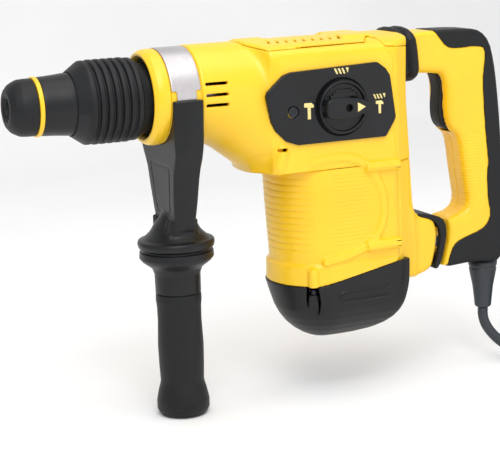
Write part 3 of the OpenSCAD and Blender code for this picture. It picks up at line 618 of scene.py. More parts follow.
class HAMMER_OT_stage(Operator):
    """Adds the camera, the soft studio lights and the white paper floor"""
    bl_idname = "hammer.stage"
    bl_label = "Stage"

    def execute(self, context):
        stage = context.scene.hammer_stage
        self.camera(context)
        centre = Vector((0.26, 0.0, -0.1))
        self.softbox("key_softbox", centre + Vector((-0.45, -1.1, 1.15)), centre, 0.9, stage.key_power)
        self.softbox("top_softbox", centre + Vector((0.1, -0.25, 1.3)), centre, 1.2, stage.top_power)
        self.softbox("fill_softbox", centre + Vector((0.75, -1.3, 0.15)), centre, 0.8, stage.fill_power)
        self.sky(context, stage.sky)
        context.scene.view_settings.view_transform = "Standard"
        self.floor()
        return {"FINISHED"}

    def camera(self, context):
        """A long lens a little above the tool, off its nose side and leaning 2.1 degrees"""
        target = Vector((0.2063, 0, -0.1178))
        distance = 1.3343
        turn, rise, lean = math.radians(-23.7), math.radians(11.5), math.radians(2.1)
        back = Vector((math.sin(turn) * math.cos(rise), -math.cos(turn) * math.cos(rise), math.sin(rise)))
        right = (-back).cross(Vector((0, 0, 1))).normalized()
        up = right.cross(-back)
        frame_right = right * math.cos(lean) - up * math.sin(lean)
        frame_up = right * math.sin(lean) + up * math.cos(lean)
        data = bpy.data.cameras.new("studio_camera")
        data.sensor_width = 36.0
        data.lens = 111.4
        data.clip_end = 50.0
        camera = bpy.data.objects.new("studio_camera", data)
        axes = Matrix((frame_right, frame_up, back)).transposed().to_4x4()
        camera.matrix_world = Matrix.Translation(target + back * distance) @ axes
        context.scene.collection.objects.link(camera)
        context.scene.camera = camera

    def softbox(self, name, place, target, size, power):
        data = bpy.data.lights.new(name, "AREA")
        data.shape = "SQUARE"
        data.size = size
        data.energy = power
        lamp = bpy.data.objects.new(name, data)
        aim = (place - target).to_track_quat("Z", "Y").to_matrix().to_4x4()
        lamp.matrix_world = Matrix.Translation(place) @ aim
        bpy.context.scene.collection.objects.link(lamp)

    def sky(self, context, strength):
        world = bpy.data.worlds.new("studio_sky")
        world.use_nodes = True
        tree = world.node_tree
        tree.nodes.clear()
        light = add(tree, "Background", {"Color": (1, 1, 1, 1), "Strength": strength})
        add(tree, "OutputWorld", links={"Surface": light.outputs[0]})
        context.scene.world = world

    def floor(self):
        """Paper that lies under the tool and sweeps up behind it"""
        low, high, back, bend = FLOOR_Z, FLOOR_Z + 2500, 1800, 600
        profile = [(-3000, low)]
        profile += [(back - bend + bend * math.sin(a), low + bend - bend * math.cos(a))
                    for a in np.linspace(0, math.pi / 2, 13)]
        profile.append((back, high))
        points = [(x, y, z) for y, z in profile for x in (-3000, 3500)]
        faces = [(2 * i, 2 * i + 1, 2 * i + 3, 2 * i + 2) for i in range(len(profile) - 1)]
        mesh = bpy.data.meshes.new("paper_sweep")
        mesh.from_pydata(np.array(points) * 0.001, [], faces)
        mesh.shade_smooth()
        mesh.materials.append(studio_paper())
        paper = bpy.data.objects.new("paper_sweep", mesh)
        bpy.context.scene.collection.objects.link(paper)


# ------------------------------------------------------------------ cord

COIL_X, COIL_Y = 565.0, -10.0
COIL_IN, COIL_OUT, COIL_TURNS, COIL_LAYERS = 45.0, 75.0, 3, 3
LEAD = [
    (441, 0, -222.3), (441, 0, -231), (443, -2, -240), (448, -6, -249), (455, -12, -257),
    (463, -19, -263), (472, -27, -268), (482, -36, -270), (495, -47, -270), (509, -60, -270),
]


def cord_route(diameter):
    """The lead, three flat spirals on top of each other and half a turn across the top"""
    start = math.degrees(math.atan2(LEAD[-1][1] - COIL_Y, LEAD[-1][0] - COIL_X))
    turn, level = start, FLOOR_Z + diameter / 2
    near, far, per_turn = COIL_OUT, COIL_IN, 36
    route = []
    for layer in range(COIL_LAYERS):
        count = COIL_TURNS * per_turn
        for i in range(count + 1):
            route.append((near + (far - near) * i / count, turn + 360 * i / per_turn, level))
        turn += 360 * COIL_TURNS
        climb = per_turn // 5
        for i in range(1, climb):
            route.append((far, turn + 72 * i / climb, level + diameter * ease(i / climb, 0, 1)))
        turn, level = turn + 72, level + diameter
        near, far = far, near
    count = per_turn // 2
    rise = middle("cord_plug")[2] - level
    for i in range(count + 1):
        lift = rise * ease(i / count, 0.45, 1)
        route.append((near + 15 * i / count, turn + 180 * i / count, level + lift))
    coil = [(COIL_X + r * math.cos(math.radians(a)), COIL_Y + r * math.sin(math.radians(a)), z)
            for r, a, z in route]
    return smooth_lead(LEAD[:-1] + coil[:1]) + coil[1:]


def smooth_lead(points, parts=4):
    """A smooth curve through chosen points"""
    points = np.array(points, float)
    padded = np.concatenate([points[:1] * 2 - points[1:2], points, points[-1:] * 2 - points[-2:-1]])
    result = []
    for i in range(len(points) - 1):
        a, b, c, d = padded[i:i + 4]
        for t in np.arange(parts) / parts:
            result.append(tuple(0.5 * (2 * b + (c - a) * t + (2 * a - 5 * b + 4 * c - d) * t ** 2
                                       + (3 * b - 3 * c + d - a) * t ** 3)))
    return result + [tuple(points[-1])]


class HAMMER_OT_cord(Operator):
    """Builds the power cord, its coil and the tapered boot that it leaves by"""
    bl_idname = "hammer.cord"
    bl_label = "Cord"

    def execute(self, context):
        diameter = mm(sizes().cord_diameter)
        path = cord_route(diameter)
        cord = tube("mains_cord", path, diameter / 2, cord_rubber(), "rubber")
        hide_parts("power_cord", "cord_coil")
        boot = self.boot()
        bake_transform(cord)
        return {"FINISHED"}

    def boot(self):
        """A ringed collar, then a taper that hugs the cord"""
        top = span("cord_boot")[1][2]
        hole = mm(sizes().cord_diameter) / 2 + 0.25
        piece = turned("cord_strain_relief", "z", (BOOT_X, 0), [
            (0, top), (13.4, top), (13.2, top - 5, 1), (12.4, top - 6, 0.6), (12.4, top - 7.4, 0.6),
            (12.8, top - 8.4, 1), (11.6, top - 15, 20), (9.6, top - 25, 20), (8.4, top - 36, 20),
            (7.6, BOOT_TIP + 1, 3), (6.8, BOOT_TIP, 1), (hole, BOOT_TIP, 0.3), (hole, BOOT_TIP + 12),
            (0, BOOT_TIP + 12),
        ], cord_rubber(), "rubber")
        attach(piece, "rear_handle")
        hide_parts("cord_boot")
        return piece


# ------------------------------------------------------------------ nose

class HAMMER_OT_nose(Operator):
    """Builds the rubber nose cap, its ring and the two sleeves of the tool holder"""
    bl_idname = "hammer.nose"
    bl_label = "Nose"

    def execute(self, context):
        spin = ("x", (0, 0))
        cap = turned("rubber_nose_cap", *spin, [
            (10.2, 2, 1), (9.6, NOSE_X0 + 3.2, 1.2), (11, NOSE_X0 + 1.2, 1.5), (15, NOSE_X0 + 0.8, 6),
            (19.6, 1.6, 8),
            (22.8, 8, 9), (23.2, 14, 6), (23.2, RING_X0 - 0.2, 0.8), (15.2, RING_X0 - 0.2), (15.2, 2),
        ], soft_grip(), "rubber")
        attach(cap, "spindle")
        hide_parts("nose_cap")
        ring = turned("nose_colour_ring", *spin, [
            (15.2, RING_X0), (24.3, RING_X0, 0.8), (24.3, RING_X1 - 0.3, 0.8), (15.2, RING_X1 - 0.3),
        ], yellow_nylon(), "yellow_plastic")
        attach(ring, "spindle")
        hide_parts("nose_ring")
        sleeve_end = span("front_sleeve")[1][0]
        front = turned("front_sleeve_moulding", *spin, [
            (17.1, RING_X1), (23.4, RING_X1, 0.6), (23.8, RING_X1 + 2, 2), (24.4, LOCK_X0 - 14, 30),
            (25.4, LOCK_X0 - 3, 10), (25.5, sleeve_end, 0.5), (17.1, sleeve_end),
        ], black_nylon(), "black_plastic")
        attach(front, "spindle")
        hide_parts("front_sleeve")
        self.lock_sleeve(spin)
        return {"FINISHED"}

    def lock_sleeve(self, spin):
        """The flared collar that is pulled back to free the tool, with six rounded ribs"""
        ribs, rib_x0, pitch = 6, LOCK_X0 + 16.5, 6.4
        profile = [(25.8, LOCK_X0 + 0.2, 0.4), (26.6, LOCK_X0, 0.6), (28, LOCK_X0 + 2, 3),
                   (32.6, LOCK_X0 + 8.5, 5),
                   (34.2, LOCK_X0 + 11, 2.5), (34.3, LOCK_X0 + 14.2, 1.4)]
        for i in range(ribs):
            place = rib_x0 + i * pitch
            height = 34.6 if i < ribs - 1 else 34.0
            profile += [(32.3, place - 1.2, 0.9), (32.3, place + 0.1, 0.9), (height, place + 0.9, 1.3),
                        (height, place + pitch - 1.9, 1.3)]
        profile += [(31.2, LOCK_X1 - 3.4, 1.2), (30.6, LOCK_X1, 0.8), (30.0, LOCK_X1), (30.0, LOCK_X0 + 30),
                    (25.8, LOCK_X0 + 28)]
        sleeve = turned("locking_sleeve_moulding", *spin, profile, soft_grip(), "rubber")
        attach(sleeve, "lock_sleeve")
        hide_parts("lock_sleeve")


# ------------------------------------------------------------------ casings

def rear_plane(x, y, z):
    """The rear face of the casings, which leans back towards the bottom"""
    return x - (REAR_X + np.interp(z, [-175, -118, -18, 0, 45], [9, 8, -1, -1, 1]))


def plan_outline():
    """The housing seen from above: straight sides and a tapered rear"""
    half = [(FRONT_X - 4, -20), (FRONT_X + 6, -SIDE_Y + 4), (FRONT_X + 14, -SIDE_Y), (REAR_X - 21, -SIDE_Y),
            (REAR_X - 16, -SIDE_Y + 2), (REAR_X + 14, -23)]
    return half + [(x, -y) for x, y in reversed(half)]


def casing_shape():
    """The outside of the barrel, the gear housing and its cover in one"""
    barrel = rod("x", (0, 0), BARREL_R, COLLAR_X1 + 0.2, FRONT_X + 10)
    shoulder = rod("x", (0, 0), BARREL_R + 2, BAND_X1 + 1, FRONT_X + 16, edge=1)
    slope = cone((FRONT_X - 28, 0, -3), BARREL_R - 1.5, (FRONT_X + 12, 0, -25), 44)
    section = soften(mirrored([(-SIDE_Y, -99), (-SIDE_Y, -90), (-SIDE_Y, 12), (-SIDE_Y, 22),
                               (-SIDE_Y + 3, 33),
                               (-30, TOP_Z - 1.5), (-12, TOP_Z + 0.8)]), 2)
    body = meet(3, prism("z", plan_outline(), MOTOR_Z1 - 3, TOP_Z + 3),
                prism("x", section, FRONT_X - 10, REAR_X + 20),
                rear_plane)
    saddle = block((MOTOR_X + 12, -28, 20), (REAR_X - 26, 28, TOP_Z + 1.6), edge=6)
    return join(3, join(7, join(1, barrel, shoulder), join(9, slope, body)), saddle)


def cover_seam(x):
    """Height of the seam under the top cover: it rises at the front and arches at the rear"""
    offsets = [(-16, 70), (-14, 47), (-6, 38), (6, 34), (98, 35), (102, 38), (106, 39), (111, 37),
               (114, 31), (141, 29)]
    return np.interp(x, [FRONT_X + dx for dx, _ in offsets], [z for _, z in offsets])


def below_cover(x, y, z):
    return z - cover_seam(x)


def motor_seam(x):
    """Height of the seam between the motor housing and the end cap"""
    return np.interp(x, [MOTOR_X - 20, REAR_X - 13], [MOTOR_Z0 - 4, MOTOR_Z0 + 11])


def motor_radius(z):
    return np.interp(z, [-172, -153.5, -150.5, -100, -60], [48.4, 48.0, 45.2, 48.0, 49.5])


def motor_shape(x, y, z):
    """The motor housing and end cap down to the cap's round bottom"""
    radius = motor_radius(z)
    side = np.where(x < MOTOR_X, np.hypot(x - MOTOR_X, y), np.abs(y)) - radius
    flat = np.abs(y) - SIDE_Y
    return -smooth_least(-side, -flat, 7)


RAISED_FRAME = [(-26, 5), (-8, 7), (11, 6), (28, -5), (39, -25), (41, -48), (32, -68), (12, -78), (-16, -83)]


def frame_ridge(x, y, z):
    """The C-shaped raised frame on the motor's side"""
    path = soften([(MOTOR_X + u, MOTOR_Z1 + v) for u, v in RAISED_FRAME], 2, closed=False)
    height = 1.1 * ease(x, MOTOR_X - 22, MOTOR_X + 6)
    return corner(path_distance(path, x, z) - 3.2 + 1.2, np.abs(y) - SIDE_Y - height + 1.2) - 1.2


def rear_boss(z):
    """A half-round boss for one of the case screws"""
    return both_sides(rod("x", (-SIDE_Y - 0.2, z), 4.7, REAR_X - 50, REAR_X - 16.5, edge=1.4))


def boss_hole(z):
    return both_sides(rod("x", (-SIDE_Y - 1, z), 3.1, REAR_X - 22, REAR_X - 5))


class HAMMER_OT_casings(Operator):
    """Builds the collar, the gear housing, its cover, the motor housing, the bracket and the end cap"""
    bl_idname = "hammer.casings"
    bl_label = "Casings"

    def execute(self, context):
        self.collar()
        shape = self.grooved_casing()
        hollow = join(0, meet(0, grow(shape, -WALL), lambda x, y, z: FRONT_X + 16 - x),
                      rod("x", (0, 0), BARREL_R - WALL, COLLAR_X1 - 5, FRONT_X + 18),
                      rod("x", (0, 0), 28, FRONT_X, FRONT_X + 30))
        half_seam = mm(sizes().seam) / 2
        lower = meet(0, shape, grow(below_cover, -half_seam))
        upper = meet(0, shape, lambda *p: -below_cover(*p) + half_seam)
        upper = cut(0.6, upper, *self.top_vents())
        lower = cut(0.6, lower, *self.barrel_vents(), self.bump_slot())
        box = ((COLLAR_X1, -SIDE_Y - 4, MOTOR_Z1 - 4), (REAR_X + 12, SIDE_Y + 4, TOP_Z + 6))
        body = moulding("gear_housing_moulding", cut(0, lower, hollow), *box, yellow_nylon(),
                        "yellow_plastic")
        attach(body, "housing")
        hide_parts("gear_housing")
        cover = moulding("top_cover_moulding", cut(0, upper, hollow), (FRONT_X - 20, -SIDE_Y - 2, 26),
                         (REAR_X + 4, SIDE_Y + 2, TOP_Z + 6), yellow_nylon(), "yellow_plastic")
        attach(cover, "housing")
        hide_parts("top_cover")
        self.motor_housing()
        self.rear_bracket()
        self.end_cap()
        return {"FINISHED"}

    def collar(self):
        """The lip that the nose runs into, rounded outside and dished inside"""
        ring = turned("collar_lip", "x", (0, 0), [
            (32.6, COLLAR_X0 + 6), (33.2, COLLAR_X0 + 3, 2), (34.6, COLLAR_X0, 1.2),
            (36.6, COLLAR_X0 - 0.1, 1.5),
            (39.2, COLLAR_X0 + 3.5, 4), (39.9, COLLAR_X0 + 8, 4), (39.7, COLLAR_X1 - 0.6, 0.8),
            (38.6, COLLAR_X1, 0.3), (33.1, COLLAR_X1), (33.1, COLLAR_X0 + 7),
        ], yellow_nylon(), "yellow_plastic", steps=192)
        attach(ring, "housing")
        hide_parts("collar_ring")

    def grooved_casing(self):
        """The casing with its seam lines, the boss under the barrel and the raised frame's start"""
        shape = casing_shape()
        bump = both_sides(cone((FRONT_X + 14, -SIDE_Y + 2, -50), 4.6, (FRONT_X + 11, -SIDE_Y + 4, -62), 4.8))
        rear_line = [(FRONT_X + u, z) for u, z in ((114, 31), (121, 19), (119, -6), (119, -32), (125, -76))]
        front_line = soften([(FRONT_X + u, z) for u, z in
                             ((12, -36), (6, -50), (-6, -56), (-20, -55), (-36, -46), (-47, -36))], 2,
                             closed=False)
        joined = join(4, shape, bump)
        joined = join(2.5, joined, frame_ridge, rear_boss(MOTOR_Z1 - 4))

        def field(x, y, z):
            near_side = ease(np.abs(y), 18, 26)
            lines = groove(path_distance(rear_line, x, z), 0.9, 0.9)
            lines = np.maximum(lines, groove(path_distance(front_line, x, z), 0.8, 0.7))
            return joined(x, y, z) + lines * near_side
        return field

    def bump_slot(self):
        return both_sides(block((FRONT_X + 9, -SIDE_Y - 6, -49.6), (FRONT_X + 18, -SIDE_Y + 5, -46.8),
                                edge=0.8))

    def top_vents(self):
        """Short slots that lean across the rounded edge of the cover, on both sides"""
        slots = []
        pitch = mm(sizes().vent_pitch)
        for i in range(sizes().vent_count):
            x = FRONT_X + 15 + pitch * i
            for side in (-1, 1):
                near, far = (x + 1.2, side * 14.5), (x - 1.2, side * 25.5)
                outline = [(near[0] - 1.1, near[1]), (near[0] + 1.1, near[1]),
                           (far[0] + 1.1, far[1]), (far[0] - 1.1, far[1])]
                slots.append(prism("z", outline, 24, TOP_Z + 5, edge=0.3))
        return [join(0, *slots)]

    def barrel_vents(self):
        return [both_sides(block((BAND_X1 + 4, -SIDE_Y, z - 1.3), (BAND_X1 + 24, -20, z + 1.3), edge=0.4))
                for z in (11, 2, -6.5)]

    def motor_housing(self):
        """The upright casing round the motor, with grooves, the raised frame and a lip at its foot"""
        rib, fine = mm(sizes().motor_rib), mm(sizes().side_rib)
        plan = prism("z", [(0, -80), (REAR_X - 20, -80), (REAR_X - 21, -SIDE_Y), (REAR_X - 6, -34),
                           (REAR_X - 6, 34), (REAR_X - 21, SIDE_Y), (REAR_X - 20, 80), (0, 80)], -300, 0)
        shape = meet(2, motor_shape, plan)
        foot = both_sides(cone((MOTOR_X - 27, -40.5, -158), 4.4, (MOTOR_X - 27, -41, -180), 4.4))
        shape = join(2.5, shape, frame_ridge, rear_boss(MOTOR_Z1 - 4), rear_boss(MOTOR_Z1 - 73), foot)
        line = [(REAR_X - 15, MOTOR_Z1 + 4), (REAR_X - 11, -130), (REAR_X - 13, -162)]

        def outside(x, y, z):
            front = 1 - ease(x, MOTOR_X - 36, MOTOR_X - 22)
            height = ease(z, -147, -142) * (1 - ease(z, MOTOR_Z1 - 12, MOTOR_Z1 - 8))
            ribs = groove(repeat(z + 0.5, rib), 1.0, 0.9) * front * height
            inside = ease(x, MOTOR_X - 13, MOTOR_X - 7) * (1 - ease(x, MOTOR_X + 26, MOTOR_X + 31))
            inside = inside * ease(z, -139, -136) * (1 - ease(z, MOTOR_Z1 - 8, MOTOR_Z1 - 4))
            ribs = ribs + groove(repeat(z, fine), 0.8, 0.45) * inside
            return shape(x, y, z) + ribs
        hollow = meet(0, grow(meet(2, motor_shape, plan), -WALL))
        shell = cut(0, outside, hollow, boss_hole(MOTOR_Z1 - 4), boss_hole(MOTOR_Z1 - 73))
        half_seam = mm(sizes().seam) / 2
        shell = meet(0, shell, lambda x, y, z: z - (MOTOR_Z1 - 3.2),
                     lambda x, y, z: motor_seam(x) + half_seam - z)
        piece = moulding("motor_housing_moulding", shell, (MOTOR_X - 54, -SIDE_Y - 5, -173),
                         (REAR_X, SIDE_Y + 5, MOTOR_Z1), yellow_nylon(), "yellow_plastic",
                         step=(1.3, 1.3, 0.8))
        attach(piece, "housing")
        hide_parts("motor_housing")

    def rear_bracket(self):
        """The tapered rear of the casing and the arm that carries the handle's pivot"""
        post = prism("z", [(REAR_X - 19, -42), (REAR_X - 12, -40), (REAR_X + 16, -21), (REAR_X + 16, 21),
                           (REAR_X - 12, 40), (REAR_X - 19, 42)], MOTOR_Z0 - 9, MOTOR_Z1 - 3.2, edge=0.5)
        post = meet(2, post, rear_plane)
        arm = prism("y", soften([(REAR_X - 8, -108), (REAR_X + 8, -116), (REAR_X + 14, -122),
                                 (REAR_X + 27, -126.5),
                                 (REAR_X + 33, -131), (REAR_X + 35.5, -146), (REAR_X + 31, -166),
                                 (REAR_X + 27.5, -174.5),
                                 (REAR_X + 12, -179), (REAR_X - 4, -178), (REAR_X - 9, -160)], 2), -24, 24,
                                 edge=6)
        shape = join(9, post, arm)
        inner = block((REAR_X - 30, -29, MOTOR_Z0 - 2), (REAR_X + 3, 29, MOTOR_Z1 + 2), edge=2)
        ways = [rod("y", LOWER_JOINT, 12.6, y - 4.5, y + 4.5) for y in (-7, 7)]
        pin = rod("y", LOWER_JOINT, 5.1, -22, 22)
        piece = moulding("rear_bracket_moulding", cut(0.5, shape, inner, pin, *ways),
                         (REAR_X - 20, -45, -183), (REAR_X + 42, 45, MOTOR_Z1), yellow_nylon(),
                         "yellow_plastic")
        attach(piece, "housing")
        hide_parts("rear_bracket")

    def end_cap(self):
        """The black cap under the motor: a round nose, a pocket with a raised loop, screw channels and vents"""
        side = soften([(-51, 30), (-50, -2), (-46.5, -15), (-41, -32), (-31, -46), (-16, -56), (-2, -60),
                       (20, -61),
                       (40, -56), (53, -47), (61, -35), (64, -20), (66, -5), (66, 30)], 1)
        side = [(MOTOR_X + u, MOTOR_Z0 + v) for u, v in side]

        def front_half(x, y, z):
            return outline_distance(side, MOTOR_X - np.hypot(np.minimum(x - MOTOR_X, 0), y), z)

        def rear_half(x, y, z):
            return outline_distance(side, np.maximum(x, MOTOR_X), z)
        bowl = meet(5, front_half, rear_half, lambda x, y, z: np.abs(y) - SIDE_Y)
        shape = bowl
        pocket_outline = soften([(-12, 20), (-9, -19), (-1, -33), (15, -39), (38, -37), (52, -25), (58, -4),
                                 (60, 20)], 2)
        pocket = both_sides(prism("y", [(MOTOR_X + u, MOTOR_Z0 + v) for u, v in pocket_outline], -70,
                                  -SIDE_Y + 1.4))
        angle = math.radians(35)
        centre = (MOTOR_X - 44.5 * math.sin(angle), -44.5 * math.cos(angle))
        channel = both_sides(join(0, cone((*centre, -150), 6, (*centre, -188), 6),
                                  cone((*centre, -188), 6, (centre[0] + 3, centre[1] + 1, -203), 2.5)))
        core_centre = (centre[0] + 0.6, centre[1] + 1.4)
        core = both_sides(rod("z", core_centre, 4.3, -204, MOTOR_Z0 - 12, edge=0.8))
        loop_path = [(MOTOR_X + 1, MOTOR_Z0 - 15.5), (MOTOR_X + 48, MOTOR_Z0 - 15)]

        def loop(x, y, z):
            ring = np.abs(path_distance(loop_path, x, z) - 4.4) - 0.8
            return corner(ring, np.abs(y) - SIDE_Y + 0.4, x - MOTOR_X - 44)
        inner = grow(bowl, -WALL)
        slots = []
        for i in range(5):
            turn, lean = math.radians(22 + 6.5 * i), math.radians(28 + 6.5 * i)
            slots.append(cone((MOTOR_X - 43 * math.cos(turn), -43 * math.sin(turn), -200), 0.9,
                              (MOTOR_X - 33.5 * math.cos(lean), -33.5 * math.sin(lean), -213), 0.9))
        vents = both_sides(join(0, *slots))
        half_seam = mm(sizes().seam) / 2
        shape = cut(2.0, shape, pocket)
        shape = cut(1.0, shape, channel)
        shape = join(0.8, shape, loop, meet(0, core, grow(bowl, -0.5)))
        shell = cut(0.4, shape, vents)
        shell = cut(0, shell, cut(0, inner, channel))
        clear = block((REAR_X - 13, -34, MOTOR_Z0 - 12), (REAR_X + 40, 34, -100))
        shell = meet(0, cut(0, shell, clear), lambda x, y, z: z - motor_seam(x) + half_seam)
        piece = moulding("motor_end_cap_moulding", shell, (MOTOR_X - 54, -SIDE_Y - 3, CAP_Z0 - 6),
                         (REAR_X + 2, SIDE_Y + 3, -150), black_nylon(), "black_plastic", step=(1.1, 1.1, 1.1))
        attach(piece, "housing")
        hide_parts("motor_end_cap")


# ------------------------------------------------------------------ mode selector

class HAMMER_OT_selector(Operator):
    """Builds the black side panel, its symbols and the knob"""
    bl_idname = "hammer.selector"
    bl_label = "Mode selector"

    def execute(self, context):
        corners = [(-53, 14), (-46, 16), (35, 19), (43, 13), (47, 7), (52, -29), (50, -33), (42, -45),
                   (-41, -45),
                   (-52, -41), (-61, -32), (-65, -24), (-69, -3), (-68, 1)]
        outline = rounded_profile([(MOTOR_X + u, v, 3) for u, v in corners])
        plate = prism("y", outline, PANEL_Y - 0.3, PANEL_Y + 14, edge=1.0)
        well = rod("y", (MOTOR_X, KNOB_Z), KNOB_R + 1.6, PANEL_Y - 5, PANEL_Y + 0.9, edge=0.3)
        screw_hole = rod("y", (MOTOR_X - 45, KNOB_Z - 1), 5.2, PANEL_Y - 5, PANEL_Y + 1.9)
        shaft = rod("y", (MOTOR_X, KNOB_Z), 6.2, PANEL_Y - 5, PANEL_Y + 20)
        behind = block((FRONT_X - 30, -SIDE_Y + 1.5, -80), (REAR_X, 0, 60))
        shape = cut(0.5, plate, well, screw_hole)
        piece = moulding("selector_panel_moulding", cut(0, shape, shaft, behind),
                         (FRONT_X - 8, PANEL_Y - 2, -48),
                         (REAR_X, -SIDE_Y + 3, 22), black_nylon(), "black_plastic", step=(1.0, 0.6, 1.0))
        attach(piece, "housing")
        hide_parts("selector_panel")
        self.knob()
        self.symbols()
        return {"FINISHED"}

    def knob(self):
        """A round dial with a raised bar across it, a lock hole and a pointer"""
        x, z, face = MOTOR_X, KNOB_Z, PANEL_Y
        dish = rod("y", (x, z), KNOB_R, face - 4.6, face + 0.5, edge=0.8)
        rim = cut(0.6, dish, rod("y", (x, z), KNOB_R - 2.4, face - 8, face - 2.2, edge=0.5))
        bar = prism("y", soften([(x - 19.5, z - 6.5), (x - 12, z - 9), (x + 17, z - 7), (x + 21, z),
                                 (x + 17, z + 7),
                                 (x - 12, z + 9), (x - 19.5, z + 6.5)], 2), face - 12, face - 1, edge=1.5)
        fins = [block((x - 13 + 3 * i, face - 6.0 + 1.2 * i, z + 8.5 + 2.2 * i),
                      (x + 14 - 3 * i, face - 1, z + 10.6 + 2.2 * i), edge=0.4) for i in range(3)]
        shape = join(0.8, rim, bar, *fins)
        hole = rod("y", (x + 1.5, z), 3.1, face - 14, face - 6, edge=0.5)
        stem = rod("y", (x, z), 5.9, face - 1, face + 9)
        piece = moulding("selector_knob_moulding", join(0.5, cut(0.4, shape, hole), stem),
                         (x - 24, face - 13, z - 24), (x + 24, face + 10, z + 24), black_nylon(), "rubber",
                         step=(0.7, 0.7, 0.7))
        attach(piece, "selector")
        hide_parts("selector_knob")
        pointer = prism("y", [(x + 9, z - 4), (x + 16.5, z), (x + 9, z + 4)], face - 12.35, face - 11.4,
                        edge=0.2)
        mark = moulding("selector_pointer", pointer, (x + 8, face - 13, z - 5), (x + 18, face - 11, z + 5),
                        marking_paint(), "alloy_band", step=(0.3, 0.3, 0.3))
        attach(mark, "selector")

    def symbols(self):
        """A hammer on one side of the dial, a drill above it and both together on the other side"""
        x, z = MOTOR_X, KNOB_Z
        shapes = [self.hammer(x - 30.5, z - 1, 1.0), self.drill(x, z + 30, 1.0),
                  self.drill(x + 35.5, z + 6, 0.85), self.hammer(x + 36, z - 3, 0.8)]
        mark = moulding("selector_symbols", join(0, *shapes), (x - 40, PANEL_Y - 2, z - 14),
                        (x + 46, PANEL_Y, z + 38), marking_paint(), "alloy_band", step=(0.4, 0.3, 0.4))
        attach(mark, "housing")

    def plate(self, outline):
        return prism("y", outline, PANEL_Y - 0.65, PANEL_Y + 0.2, edge=0.15)

    def hammer(self, x, z, size):
        """A hammer on end: a short head with a sloping peen over a straight handle"""
        head = [(-4.6, 6.6), (-4.6, 3.2), (-2.2, 3.0), (4.4, 2.4), (4.4, 4.6), (2.2, 6.6)]
        shaft = [(-1.5, 3.4), (-1.5, -7), (1.5, -7), (1.5, 3.4)]
        return join(0, *(self.plate([(x + size * u, z + size * v) for u, v in part]) for part in (head,
                                                                                                  shaft)))

    def drill(self, x, z, size):
        """A twist drill on its side: three slanting flutes and a point"""
        parts = [[(u - 1.6, 2.4), (u + 0.2, 2.4), (u + 2.4, -2.4), (u + 0.6, -2.4)] for u in (-5, -1.6, 1.8)]
        parts.append([(4.2, 2.6), (7.2, 2.6), (6.4, -2.4)])
        return join(0, *(self.plate([(x + size * u, z + size * v) for u, v in part]) for part in parts))


# ------------------------------------------------------------------ side handle

